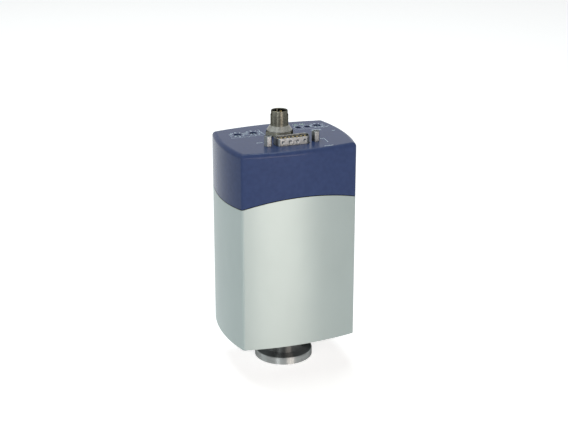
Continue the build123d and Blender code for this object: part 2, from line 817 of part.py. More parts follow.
# Front half of the D-shaped connector: mounting plate and shell, one pressing
with BuildPart() as dsub_front_shell:
    with BuildSketch(Plane.XY.offset(dsub_plate_z - dsub_plate_thickness)):
        with Locations((0, dsub_y)):
            RectangleRounded(dsub_plate_width, dsub_plate_depth, dsub_plate_corner)
        with Locations(*jack_places):
            Circle(jack_thread + jack_hole_gap, mode=Mode.SUBTRACT)
    extrude(amount=dsub_plate_thickness)
    with BuildSketch(Plane.XY.offset(dsub_plate_z)):
        with Locations((0, dsub_y)):
            add(connector_outline(0))
    extrude(amount=dsub_rim_z - dsub_plate_z)
    with BuildSketch(Plane.XY.offset(dsub_plate_z - dsub_plate_thickness)):
        with Locations((0, dsub_y)):
            add(connector_outline(-dsub_sheet))
    extrude(amount=dsub_rim_z - dsub_plate_z + dsub_plate_thickness, mode=Mode.SUBTRACT)
    # Grounding dimples, pressed inwards in the two long walls
    for side in (-1, 1):
        outer_y = dsub_y + side * (dsub_depth / 2 - dimple_depth / 2)
        inner_y = outer_y - side * dsub_sheet
        dimple_xs = [(i - (dimple_count - 1) / 2) * dimple_pitch for i in range(dimple_count)]
        with Locations(*[(x, inner_y, dsub_plate_z + dimple_rise) for x in dimple_xs]):
            Cone(dimple_radius, dimple_floor_radius, dimple_depth, rotation=(side * 90, 0, 0))
        with Locations(*[(x, outer_y, dsub_plate_z + dimple_rise) for x in dimple_xs]):
            Cone(
                dimple_radius, dimple_floor_radius, dimple_depth,
                rotation=(side * 90, 0, 0), mode=Mode.SUBTRACT,
            )
dsub_front_shell.part.label = "dsub_front_shell"
export_step(dsub_front_shell.part, "parts/dsub_front_shell.step")

# Rear half of the connector's shell
dsub_rear_z = dsub_plate_z - 2 * dsub_plate_thickness
with BuildPart() as dsub_rear_shell:
    with BuildSketch(Plane.XY.offset(dsub_rear_z)):
        with Locations((0, dsub_y)):
            RectangleRounded(dsub_plate_width, dsub_plate_depth, dsub_plate_corner)
        with Locations(*jack_places):
            Circle(jack_thread + jack_hole_gap, mode=Mode.SUBTRACT)
    extrude(amount=dsub_plate_thickness)
    with BuildSketch(Plane.XY.offset(dsub_rear_z - dsub_rear_height)):
        with Locations((0, dsub_y)):
            add(connector_outline(dsub_sheet))
    extrude(amount=dsub_rear_height)
    with BuildSketch(Plane.XY.offset(dsub_rear_z - dsub_rear_height)):
        with Locations((0, dsub_y)):
            add(connector_outline(0))
    extrude(amount=dsub_rear_height + dsub_plate_thickness, mode=Mode.SUBTRACT)
dsub_rear_shell.part.label = "dsub_rear_shell"
export_step(dsub_rear_shell.part, "parts/dsub_rear_shell.step")

# Places of the contacts in two staggered rows, the longer one to the rear
dsub_short_row = dsub_long_row - 1
dsub_pin_places = [
    ((i - (dsub_long_row - 1) / 2) * dsub_pitch, dsub_y + dsub_row_half)
    for i in range(dsub_long_row)
] + [
    ((i - (dsub_short_row - 1) / 2) * dsub_pitch, dsub_y - dsub_row_half)
    for i in range(dsub_short_row)
]

# Insulator block that carries the contacts
with BuildPart() as dsub_insulator:
    with BuildSketch(Plane.XY.offset(dsub_rear_z - dsub_rear_height)):
        with Locations((0, dsub_y)):
            add(connector_outline(-dsub_sheet - weld_gap))
        with Locations(*dsub_pin_places):
            Circle(dsub_pin_radius + weld_gap, mode=Mode.SUBTRACT)
    extrude(amount=dsub_face_z - dsub_rear_z + dsub_rear_height)
dsub_insulator.part.label = "dsub_insulator"
export_step(dsub_insulator.part, "parts/dsub_insulator.step")

# Contact pins, standing on the panel board
with BuildPart() as dsub_pins:
    with BuildSketch(Plane.XY.offset(panel_board_z)):
        with Locations(*dsub_pin_places):
            Circle(dsub_pin_radius)
    extrude(amount=dsub_rim_z - dsub_pin_setback - panel_board_z)
    pin_tips = dsub_pins.faces().filter_by(Axis.Z).group_by(Axis.Z)[-1].edges()
    chamfer(pin_tips, length=contact_tip)
dsub_pins.part.label = "dsub_pins"
export_step(dsub_pins.part, "parts/dsub_pins.step")

# Hexagonal jack posts beside the connector, each with a stud and a tapped bore
jack_stud_z = dsub_rear_z - jack_nut_height - jack_stud_tail
with BuildPart() as jack_posts:
    with BuildSketch(Plane.XY.offset(top_z)):
        with Locations(*jack_places):
            RegularPolygon(jack_flats / 2, 6, major_radius=False)
    extrude(amount=jack_height)
    with Locations(*[(x, y, top_z + jack_height / 2) for x, y in jack_places]):
        Cone(
            jack_flats / 2 + jack_height * hexagon_cut_slope, jack_flats / 2,
            jack_height, mode=Mode.INTERSECT,
        )
    with BuildSketch(Plane.XY.offset(jack_stud_z)):
        with Locations(*jack_places):
            Circle(jack_thread)
    extrude(amount=top_z - jack_stud_z)
    with BuildSketch(Plane.XY.offset(top_z + jack_height)):
        with Locations(*jack_places):
            Circle(jack_tapping)
    extrude(amount=-jack_bore_depth, mode=Mode.SUBTRACT)
jack_posts.part.label = "jack_posts"
export_step(jack_posts.part, "parts/jack_posts.step")

# Nuts on the jack posts' studs, under the connector's plates
with BuildPart() as jack_nuts:
    with BuildSketch(Plane.XY.offset(dsub_rear_z - jack_nut_height)):
        with Locations(*jack_places):
            RegularPolygon(jack_flats / 2, 6, major_radius=False)
            Circle(jack_thread + thread_gap, mode=Mode.SUBTRACT)
    extrude(amount=jack_nut_height)
jack_nuts.part.label = "jack_nuts"
export_step(jack_nuts.part, "parts/jack_nuts.step")

# Body of the round connector: hexagon flange, threaded barrel and rear thread
flange_z = top_z + seal_thickness
neck_z = flange_z + round_flange_height
thread_z = neck_z + round_neck_height
lead_z = round_rim_z - round_lead_height
round_foot_z = panel_z - round_mount_length
round_face_z = round_rim_z - round_cavity
with BuildPart() as round_body:
    with BuildSketch(Plane.XY.offset(flange_z)):
        with Locations((0, round_y)):
            RegularPolygon(round_flange_flats / 2, 6, major_radius=False)
    extrude(amount=round_flange_height)
    with Locations((0, round_y, flange_z + round_flange_height / 2)):
        Cone(
            round_flange_flats / 2 + round_flange_height * hexagon_cut_slope,
            round_flange_flats / 2, round_flange_height, mode=Mode.INTERSECT,
        )
    with BuildSketch(Plane.XY.offset(round_foot_z)):
        with Locations((0, round_y)):
            Circle(round_mount_thread)
    extrude(amount=flange_z - round_foot_z)
    with BuildSketch(Plane.XY.offset(neck_z)):
        with Locations((0, round_y)):
            Circle(round_neck_radius)
    extrude(amount=round_neck_height)
    with BuildSketch(Plane.XY.offset(thread_z)):
        with Locations((0, round_y)):
            Circle(round_thread)
    extrude(amount=lead_z - thread_z)
    with BuildSketch(Plane.XY.offset(lead_z)):
        with Locations((0, round_y)):
            Circle(round_lead)
    extrude(amount=round_lead_height)
    chamfer(round_body.faces().sort_by(Axis.Z)[-1].edges(), length=round_mouth_chamfer)
    with BuildSketch(Plane.XY.offset(round_foot_z)):
        with Locations((0, round_y)):
            Circle(round_bore)
    extrude(amount=round_rim_z - round_foot_z, mode=Mode.SUBTRACT)
    # The key inside the mouth, at the rear, runs up to just below the rim
    with BuildSketch(Plane.XY.offset(round_face_z)):
        with Locations((0, round_y + round_bore)):
            Rectangle(round_key_width, 2 * round_key_depth)
    extrude(amount=round_cavity - round_pin_setback)
round_body.part.label = "round_body"
export_step(round_body.part, "parts/round_body.step")

# Flat seal between the round connector's flange and the cap
with BuildPart() as round_seal:
    with BuildSketch(Plane.XY.offset(top_z)):
        with Locations((0, round_y)):
            Circle(round_mount_thread + seal_width)
            Circle(round_mount_thread + panel_hole_gap, mode=Mode.SUBTRACT)
    extrude(amount=seal_thickness)
round_seal.part.label = "round_seal"
export_step(round_seal.part, "parts/round_seal.step")

# Lock nut behind the panel
with BuildPart() as round_nut:
    with BuildSketch(Plane.XY.offset(panel_z - round_nut_height)):
        with Locations((0, round_y)):
            RegularPolygon(round_nut_flats / 2, 6, major_radius=False)
            Circle(round_mount_thread + thread_gap, mode=Mode.SUBTRACT)
    extrude(amount=round_nut_height)
round_nut.part.label = "round_nut"
export_step(round_nut.part, "parts/round_nut.step")

# Insulator of the round connector, with its contacts: one central, four round it
with BuildPart() as round_insulator:
    with BuildSketch(Plane.XY.offset(round_foot_z)):
        with Locations((0, round_y)):
            Circle(round_bore - weld_gap)
            Circle(round_pin_radius + weld_gap, mode=Mode.SUBTRACT)
            with PolarLocations(round_pin_circle, round_pin_count, start_angle=45):
                Circle(round_pin_radius + weld_gap, mode=Mode.SUBTRACT)
    extrude(amount=round_face_z - round_foot_z)
    # A thin sleeve lines the mouth, cut away round the key
    with BuildSketch(Plane.XY.offset(round_face_z)):
        with Locations((0, round_y)):
            Circle(round_bore - weld_gap)
            Circle(round_bore - weld_gap - round_sleeve, mode=Mode.SUBTRACT)
        with Locations((0, round_y + round_bore)):
            Rectangle(
                round_key_width + 2 * weld_gap, 2 * round_key_depth + 2 * weld_gap,
                mode=Mode.SUBTRACT,
            )
    extrude(amount=round_cavity - round_sleeve_drop)
round_insulator.part.label = "round_insulator"
export_step(round_insulator.part, "parts/round_insulator.step")

with BuildPart() as round_pins:
    with BuildSketch(Plane.XY.offset(panel_board_z)):
        with Locations((0, round_y)):
            Circle(round_pin_radius)
            with PolarLocations(round_pin_circle, round_pin_count, start_angle=45):
                Circle(round_pin_radius)
    extrude(amount=round_rim_z - round_pin_setback - panel_board_z)
    round_tips = round_pins.faces().filter_by(Axis.Z).group_by(Axis.Z)[-1].edges()
    chamfer(round_tips, length=contact_tip)
round_pins.part.label = "round_pins"
export_step(round_pins.part, "parts/round_pins.step")


def rotor_case(place, side, height, stem, disc):
    """Square case on the panel board, hollow where its rotor turns."""
    disc_z = panel_board_z + rotor_floor
    with BuildPart() as case:
        with BuildSketch(Plane.XY.offset(panel_board_z)):
            with Locations(place):
                RectangleRounded(side, side, case_corner)
        extrude(amount=height)
        with BuildSketch(Plane.XY.offset(disc_z - rotor_gap)):
            with Locations(place):
                Circle(disc + rotor_gap)
        extrude(amount=rotor_disc_height + 2 * rotor_gap, mode=Mode.SUBTRACT)
        with BuildSketch(Plane.XY.offset(disc_z)):
            with Locations(place):
                Circle(stem + rotor_gap)
        extrude(amount=height, mode=Mode.SUBTRACT)
    return case.part


def slotted_rotor(place, stem, disc, sink, cross):
    """Rotor held by its disc, with a screwdriver slot in its end."""
    disc_z = panel_board_z + rotor_floor
    end_z = top_z - sink
    with BuildPart() as rotor:
        with BuildSketch(Plane.XY.offset(disc_z)):
            with Locations(place):
                Circle(disc)
        extrude(amount=rotor_disc_height)
        with BuildSketch(Plane.XY.offset(disc_z)):
            with Locations(place):
                Circle(stem)
        extrude(amount=end_z - disc_z)
        with BuildSketch(Plane.XY.offset(end_z)):
            with Locations(place):
                Rectangle(rotor_slot_width, 3 * stem)
                if cross:
                    Rectangle(3 * stem, rotor_slot_width)
        extrude(amount=-rotor_slot_depth, mode=Mode.SUBTRACT)
    return rotor.part


# Rotary code switches: two for the address on the left, one for the rate
switch_names = ("address_tens", "address_units", "data_rate")
for switch_name, place in zip(switch_names, switch_places):
    switch_case = rotor_case(place, switch_side, switch_height, switch_stem, switch_disc)
    switch_case.label = f"{switch_name}_case"
    export_step(switch_case, f"parts/{switch_name}_case.step")
    switch_rotor = slotted_rotor(place, switch_stem, switch_disc, switch_sink, False)
    switch_rotor.label = f"{switch_name}_rotor"
    export_step(switch_rotor, f"parts/{switch_name}_rotor.step")

# Set-point trimmers, with a crossed slot
trimmer_names = ("setpoint_a", "setpoint_b")
for trimmer_name, place in zip(trimmer_names, trimmer_places):
    trimmer_case = rotor_case(place, trimmer_side, trimmer_height, trimmer_stem, trimmer_disc)
    trimmer_case.label = f"{trimmer_name}_case"
    export_step(trimmer_case, f"parts/{trimmer_name}_case.step")
    trimmer_rotor = slotted_rotor(place, trimmer_stem, trimmer_disc, trimmer_sink, True)
    trimmer_rotor.label = f"{trimmer_name}_rotor"
    export_step(trimmer_rotor, f"parts/{trimmer_name}_rotor.step")

# Status lamps on the panel board
with BuildPart() as status_lamps:
    with BuildSketch(Plane.XY.offset(panel_board_z)):
        with Locations(*light_places):
            Rectangle(led_side, led_side)
    extrude(amount=led_height)
status_lamps.part.label = "status_lamps"
export_step(status_lamps.part, "parts/status_lamps.step")

# Light pipes from the lamps up to the cap's surface
light_foot_z = panel_board_z + led_height + light_gap
with BuildPart() as light_pipes:
    with BuildSketch(Plane.XY.offset(light_foot_z)):
        with Locations(*light_places):
            Circle(light_radius)
    extrude(amount=top_z - light_foot_z)
    with BuildSketch(Plane.XY.offset(panel_z - light_collar_height)):
        with Locations(*light_places):
            Circle(light_collar)
    extrude(amount=light_collar_height)
light_pipes.part.label = "light_pipes"
export_step(light_pipes.part, "parts/light_pipes.step")
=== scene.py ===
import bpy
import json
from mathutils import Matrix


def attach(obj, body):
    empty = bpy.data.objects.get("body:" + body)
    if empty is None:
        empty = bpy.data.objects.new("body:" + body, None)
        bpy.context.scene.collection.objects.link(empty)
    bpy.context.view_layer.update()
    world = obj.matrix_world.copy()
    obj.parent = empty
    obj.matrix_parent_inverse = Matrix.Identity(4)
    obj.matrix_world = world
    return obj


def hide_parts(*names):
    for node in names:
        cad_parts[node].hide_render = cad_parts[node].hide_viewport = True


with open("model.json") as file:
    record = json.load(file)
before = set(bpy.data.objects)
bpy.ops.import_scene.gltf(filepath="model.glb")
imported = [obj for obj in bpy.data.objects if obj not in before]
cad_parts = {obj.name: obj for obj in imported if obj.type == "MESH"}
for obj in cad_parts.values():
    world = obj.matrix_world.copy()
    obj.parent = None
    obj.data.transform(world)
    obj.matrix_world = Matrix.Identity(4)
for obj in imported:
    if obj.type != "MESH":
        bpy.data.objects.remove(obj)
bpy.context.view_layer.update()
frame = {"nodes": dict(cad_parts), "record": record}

import json
import logging
import math
from collections.abc import Callable, Sequence
from dataclasses import dataclass
from enum import Enum

import bmesh
import bpy
from mathutils import Matrix, Vector

LOG = logging.getLogger("gauge")
MM = 0.001
TURN = 2 * math.pi
# Distance after which Blender's wave texture repeats at a scale of 1.
WAVE_PERIOD = 0.31

Colour = tuple[float, float, float]
Ring = list[Vector]


def plain_light(red: int, green: int, blue: int) -> Colour:
    """Turns a screen colour into the light values that a shader takes.

    Args:
        red: Red from 0 to 255, as a screen shows it.
        green: Green from 0 to 255.
        blue: Blue from 0 to 255.

    Returns:
        The same colour in linear light.
    """
    def channel(value: int) -> float:
        """One channel in linear light."""
        share = value / 255
        return share / 12.92 if share <= 0.04045 else ((share + 0.055) / 1.055) ** 2.4

    return channel(red), channel(green), channel(blue)


# ---- Materials ----


class ShaderSketch:
    """A node material under construction, with its main surface shader."""

    def __init__(self, name: str) -> None:
        """Starts an empty material.

        Args:
            name: Name of the material.
        """
        self.material = bpy.data.materials.new(name)
        self.material.use_nodes = True
        self.tree = self.material.node_tree
        self.tree.nodes.clear()
        self.output = self.tree.nodes.new("ShaderNodeOutputMaterial")
        self.surface = self.tree.nodes.new("ShaderNodeBsdfPrincipled")
        self.link(self.surface.outputs["BSDF"], self.output.inputs["Surface"])

    def add(self, kind: str, **settings: object) -> bpy.types.Node:
        """Adds a node and sets its attributes.

        Args:
            kind: Blender's name for the node type, without its common prefix.
            settings: Attributes of the node, by name.

        Returns:
            The new node.
        """
        node = self.tree.nodes.new("ShaderNode" + kind)
        for key, value in settings.items():
            setattr(node, key, value)
        return node

    def link(self, source: bpy.types.NodeSocket, target: bpy.types.NodeSocket) -> None:
        """Joins two sockets."""
        self.tree.links.new(source, target)

    def place(self, scale: Colour, shift: Colour = (0, 0, 0)) -> bpy.types.NodeSocket:
        """Coordinates fixed to the object, in metres, stretched by a scale.

        Args:
            scale: Factor along each axis.
            shift: Offset that is added after the scale.

        Returns:
            The socket that carries the coordinates.
        """
        where = self.add("TexCoord")
        stretch = self.add("Mapping")
        stretch.inputs["Scale"].default_value = scale
        stretch.inputs["Location"].default_value = shift
        self.link(where.outputs["Object"], stretch.inputs["Vector"])
        return stretch.outputs["Vector"]

    def noise(self, scale: Colour, detail: float = 3.0,
              shift: Colour = (0, 0, 0)) -> bpy.types.NodeSocket:
        """Cloudy values around one half.

        Args:
            scale: Clouds to the metre along each axis.
            detail: How many finer layers are added.
            shift: Offset of the pattern.

        Returns:
            The socket with the value.
        """
        cloud = self.add("TexNoise")
        cloud.inputs["Scale"].default_value = 1.0
        cloud.inputs["Detail"].default_value = detail
        self.link(self.place(scale, shift), cloud.inputs["Vector"])
        return cloud.outputs["Fac"]

    def spread(self, value: bpy.types.NodeSocket, low: float, high: float,
               start: float = 0.3, end: float = 0.7) -> bpy.types.NodeSocket:
        """Maps a cloudy value to a range.

        Args:
            value: The value to map.
            low: Result at the start.
            high: Result at the end.
            start: Input value that gives low.
            end: Input value that gives high.

        Returns:
            The socket with the mapped value.
        """
        ranger = self.add("MapRange")
        ranger.inputs["From Min"].default_value = start
        ranger.inputs["From Max"].default_value = end
        ranger.inputs["To Min"].default_value = low
        ranger.inputs["To Max"].default_value = high
        self.link(value, ranger.inputs["Value"])
        return ranger.outputs["Result"]

    def tint(self, value: bpy.types.NodeSocket, dark: Colour, light: Colour) -> None:
        """Colours the surface between two shades by a value.

        Args:
            value: From 0 to 1.
            dark: Shade at 0.
            light: Shade at 1.
        """
        mixer = self.add("Mix", data_type="RGBA")
        sockets = [s for s in mixer.inputs if s.type == "RGBA"]
        sockets[0].default_value = (*dark, 1)
        sockets[1].default_value = (*light, 1)
        self.link(value, mixer.inputs["Factor"])
        colour = [s for s in mixer.outputs if s.type == "RGBA"][0]
        self.link(colour, self.surface.inputs["Base Color"])

    def relief(self, heights: Sequence[tuple[bpy.types.NodeSocket, float]],
               edge: float = 0.0) -> None:
        """Adds fine relief, and light-catching edges, to the surface's normal.

        Args:
            heights: Pairs of a height value and its depth in metres.
            edge: Radius of the rounding that edges show, in metres, or 0.
        """
        normal = None
        if edge:
            rounding = self.add("Bevel", samples=6)
            rounding.inputs["Radius"].default_value = edge
            normal = rounding.outputs["Normal"]
        for height, depth in heights:
            bump = self.add("Bump")
            bump.inputs["Strength"].default_value = 1.0
            bump.inputs["Distance"].default_value = depth
            self.link(height, bump.inputs["Height"])
            if normal is not None:
                self.link(normal, bump.inputs["Normal"])
            normal = bump.outputs["Normal"]
        if normal is not None:
            self.link(normal, self.surface.inputs["Normal"])


@dataclass(frozen=True)
class Finish:
    """What a surface is made of and how it was worked.

    Attributes:
        name: Name of the finish.
        colour: Base colour in linear light.
        roughness: Roughness at its middle value.
        metallic: 1 for bare metal, 0 for plastic, in between for a metal-filled lacquer.
        edge: Rounding that edges show, in millimetres.
        specular: Strength of a plastic's reflections, 0.5 as usual.
        streak: How far highlights are drawn out along the gauge's axis, from 0 to 1.
        rim_tint: Tint of a metal's reflections at a flat angle.
    """

    name: str
    colour: Colour
    roughness: float = 0.4
    metallic: float = 0.0
    edge: float = 0.0
    specular: float = 0.5
    streak: float = 0.0
    rim_tint: float = 1.0

    def material(self) -> bpy.types.Material:
        """Builds the material once and returns it from then on."""
        found = bpy.data.materials.get(self.name)
        if found:
            return found
        sketch = ShaderSketch(self.name)
        sketch.surface.inputs["Base Color"].default_value = (*self.colour, 1)
        sketch.surface.inputs["Roughness"].default_value = self.roughness
        sketch.surface.inputs["Metallic"].default_value = self.metallic
        sketch.surface.inputs["Specular IOR Level"].default_value = self.specular
        sketch.surface.inputs["Specular Tint"].default_value = (*[self.rim_tint] * 3, 1)
        if self.streak:
            quarter_turn = 0.25
            sketch.surface.inputs["Anisotropic"].default_value = self.streak
            sketch.surface.inputs["Anisotropic Rotation"].default_value = quarter_turn
        self.work(sketch)
        return sketch.material

    def work(self, sketch: ShaderSketch) -> None:
        """Adds the surface's own texture to the material."""

    def shade(self, factor: float) -> Colour:
        """The base colour made lighter or darker by a factor."""
        return tuple(min(1.0, c * factor) for c in self.colour)


@dataclass(frozen=True)
class BlastedMetal(Finish):
    """Metal with a fine even grain from bead blasting and anodising.

    Attributes:
        grain: Size of the grain in millimetres.
        depth: Depth of the grain in millimetres.
        cloud: Size of the faint clouds in millimetres.
    """

    grain: float = 0.12
    depth: float = 0.004
    cloud: float = 22.0

    def work(self, sketch: ShaderSketch) -> None:
        """Grain in the normal and the gloss, and faint clouds in the colour."""
        fine = 1 / (self.grain * MM)
        broad = 1 / (self.cloud * MM)
        grain = sketch.noise((fine, fine, fine), detail=2.0)
        clouds = sketch.noise((broad, broad, broad * 0.5), detail=2.0)
        sketch.tint(sketch.spread(clouds, 0.0, 1.0), self.shade(0.97), self.shade(1.02))
        gloss = sketch.spread(grain, self.roughness - 0.04, self.roughness + 0.05)
        sketch.link(gloss, sketch.surface.inputs["Roughness"])
        sketch.relief([(grain, self.depth * MM)], self.edge * MM)


@dataclass(frozen=True)
class TurnedMetal(Finish):
    """Metal turned on a lathe: fine rings round the gauge's axis.

    Attributes:
        pitch: Distance between rings in millimetres.
        depth: Depth of the rings in millimetres.
        dull_from: Height above which the colour is darkened as painted shade under the housing, or None.
        dull_shade: Factor of that painted shade on the colour.
    """

    pitch: float = 0.18
    depth: float = 0.002
    dull_from: float | None = None
    dull_shade: float = 0.3

    def work(self, sketch: ShaderSketch) -> None:
        """Rings by height and by radius, with streaks in the gloss."""
        where = sketch.place((1, 1, 1))
        heights = []
        for kind, direction in (("BANDS", "Z"), ("RINGS", "Z")):
            wave = sketch.add("TexWave", wave_type=kind, wave_profile="SIN")
            if kind == "BANDS":
                wave.bands_direction = direction
            else:
                wave.rings_direction = direction
            wave.inputs["Scale"].default_value = WAVE_PERIOD / (self.pitch * MM)
            wave.inputs["Distortion"].default_value = 0.6
            wave.inputs["Detail Scale"].default_value = 900.0
            sketch.link(where, wave.inputs["Vector"])
            heights.append((wave.outputs["Fac"], self.depth * MM))
        streaks = sketch.noise((90, 90, 5200), detail=3.0)
        gloss = sketch.spread(streaks, self.roughness * 0.7, self.roughness * 1.35)
        sketch.link(gloss, sketch.surface.inputs["Roughness"])
        stains = sketch.spread(sketch.noise((160, 160, 160), detail=4.0, shift=(3, 1, 2)), 0.0, 1.0)
        if self.dull_from is None:
            sketch.tint(stains, self.shade(0.9), self.shade(1.04))
        else:
            # Painted shade: above the given height the colour is darkened, standing in for the shade under the
            # housing.
            height = sketch.add("SeparateXYZ")
            sketch.link(where, height.inputs["Vector"])
            start, fade = self.dull_from * MM, 0.1 * MM
            bright = sketch.spread(height.outputs["Z"], 1.0, 0.08, start - fade, start + fade)
            both = sketch.add("Math", operation="MULTIPLY")
            sketch.link(bright, both.inputs[0])
            sketch.link(sketch.spread(stains, 0.88, 1.0, 0.0, 1.0), both.inputs[1])
            sketch.tint(both.outputs[0], self.shade(self.dull_shade), self.shade(1.04))
        sketch.relief(heights, self.edge * MM)


@dataclass(frozen=True)
class PlatedMetal(Finish):
    """Stamped or machined metal with a thin plating, slightly tarnished.

    Attributes:
        tarnish: Colour where the plating has darkened.
        grain: Size of the stains in millimetres.
        scratch: Depth of the fine scratches in millimetres.
    """

    tarnish: Colour = (0.3, 0.28, 0.2)
    grain: float = 1.6
    scratch: float = 0.0015

    def work(self, sketch: ShaderSketch) -> None:
        """Stains in the colour and gloss, and scratches across them."""
        size = 1 / (self.grain * MM)
        stains = sketch.noise((size, size, size), detail=5.0)
        sketch.tint(sketch.spread(stains, 0.0, 1.0, 0.38, 0.72), self.colour, self.tarnish)
        scratches = sketch.noise((size * 2, size * 9, size * 5), detail=3.0, shift=(7, 2, 5))
        gloss = sketch.spread(scratches, self.roughness * 0.7, self.roughness * 1.4)
        sketch.link(gloss, sketch.surface.inputs["Roughness"])
        sketch.relief([(scratches, self.scratch * MM)], self.edge * MM)


@dataclass(frozen=True)
class MouldedPlastic(Finish):
    """Injection-moulded plastic with a faint ripple and tiny specks.

    Attributes:
        ripple: Size of the ripple in millimetres.
        depth: Depth of the ripple in millimetres.
        grain: Size of the fine texture in millimetres.
        grain_depth: Depth of the fine texture in millimetres.
    """

    ripple: float = 9.0
    depth: float = 0.01
    grain: float = 0.2
    grain_depth: float = 0.002

    def work(self, sketch: ShaderSketch) -> None:
        """Ripple and grain in the normal, and slight clouds in colour and gloss."""
        broad = 1 / (self.ripple * MM)
        fine = 1 / (self.grain * MM)
        ripple = sketch.noise((broad, broad, broad), detail=1.0)
        grain = sketch.noise((fine, fine, fine), detail=2.0, shift=(2, 6, 1))
        clouds = sketch.noise((broad * 3, broad * 3, broad * 3), detail=4.0, shift=(5, 3, 8))
        sketch.tint(sketch.spread(clouds, 0.0, 1.0), self.shade(0.93), self.shade(1.07))
        gloss = sketch.spread(grain, self.roughness * 0.88, self.roughness * 1.15)
        sketch.link(gloss, sketch.surface.inputs["Roughness"])
        sketch.relief([(ripple, self.depth * MM), (grain, self.grain_depth * MM)], self.edge * MM)


@dataclass(frozen=True)
class BoardLacquer(Finish):
    """Circuit board under green lacquer, with tracks that show through.

    Attributes:
        track: Colour over a copper track.
        pitch: Distance between tracks in millimetres.
    """

    track: Colour = (0.05, 0.26, 0.12)
    pitch: float = 2.54

    def work(self, sketch: ShaderSketch) -> None:
        """Tracks as long blocks, raised a little under the lacquer."""
        count = 1 / (self.pitch * MM)
        blocks = sketch.add("TexBrick")
        blocks.inputs["Scale"].default_value = 1.0
        blocks.inputs["Mortar Size"].default_value = 0.12
        blocks.inputs["Brick Width"].default_value = 3.2
        blocks.inputs["Row Height"].default_value = 0.5
        blocks.inputs["Color1"].default_value = (0, 0, 0, 1)
        blocks.inputs["Color2"].default_value = (0.1, 0.1, 0.1, 1)
        blocks.inputs["Mortar"].default_value = (1, 1, 1, 1)
        sketch.link(sketch.place((count, count, count)), blocks.inputs["Vector"])
        value = sketch.add("RGBToBW")
        sketch.link(blocks.outputs["Color"], value.inputs["Color"])
        sketch.tint(value.outputs["Val"], self.colour, self.track)
        sketch.relief([(value.outputs["Val"], 0.02 * MM)], self.edge * MM)


@dataclass(frozen=True)
class WoundWire(Finish):
    """Enamelled wire wound in even turns.

    Attributes:
        pitch: Distance between turns in millimetres.
    """

    pitch: float = 0.4

    def work(self, sketch: ShaderSketch) -> None:
        """Turns stacked along the upright axis, with painted shade in the grooves between them."""
        wave = sketch.add("TexWave", wave_type="BANDS", bands_direction="Z", wave_profile="SIN")
        wave.inputs["Scale"].default_value = WAVE_PERIOD / (self.pitch * MM)
        wave.inputs["Distortion"].default_value = 0.4
        sketch.link(sketch.place((1, 1, 1)), wave.inputs["Vector"])
        # Painted shade: the colour darkens in the grooves between turns, where the relief dips.
        sketch.tint(wave.outputs["Fac"], self.shade(0.45), self.shade(1.1))
        sketch.relief([(wave.outputs["Fac"], 0.08 * MM)], self.edge * MM)


@dataclass(frozen=True)
class ClearMoulding(Finish):
    """Clear or tinted glass-like moulding.

    Attributes:
        passing: Share of the light that passes, from 0 to 1.
        bend: Index of refraction.
    """

    passing: float = 0.8
    bend: float = 1.5

    def work(self, sketch: ShaderSketch) -> None:
        """Passing light, with faint streaks in the gloss."""
        sketch.surface.inputs["Transmission Weight"].default_value = self.passing
        sketch.surface.inputs["IOR"].default_value = self.bend
        streaks = sketch.noise((1200, 1200, 300), detail=2.0)
        gloss = sketch.spread(streaks, self.roughness * 0.6, self.roughness * 1.5)
        sketch.link(gloss, sketch.surface.inputs["Roughness"])
        sketch.tint(streaks, self.shade(0.92), self.shade(1.05))


@dataclass(frozen=True)
class ScreenedInk(Finish):
    """Thin opaque ink, with the faint mesh of the screen it was pressed through.

    Attributes:
        mesh: Distance between the screen's threads in millimetres.
    """

    mesh: float = 0.14

    def work(self, sketch: ShaderSketch) -> None:
        """A soft weave in the relief and slightly uneven cover in the colour."""
        count = 1 / (self.mesh * MM)
        threads = sketch.noise((count, count, count), detail=1.0)
        cover = sketch.noise((1400, 1400, 1400), detail=4.0, shift=(4, 9, 2))
        sketch.tint(sketch.spread(cover, 0.0, 1.0), self.shade(0.86), self.shade(1.03))
        sketch.relief([(threads, 0.004 * MM)])


TOP_Z = 158.5
ROUND_Y = 7.4

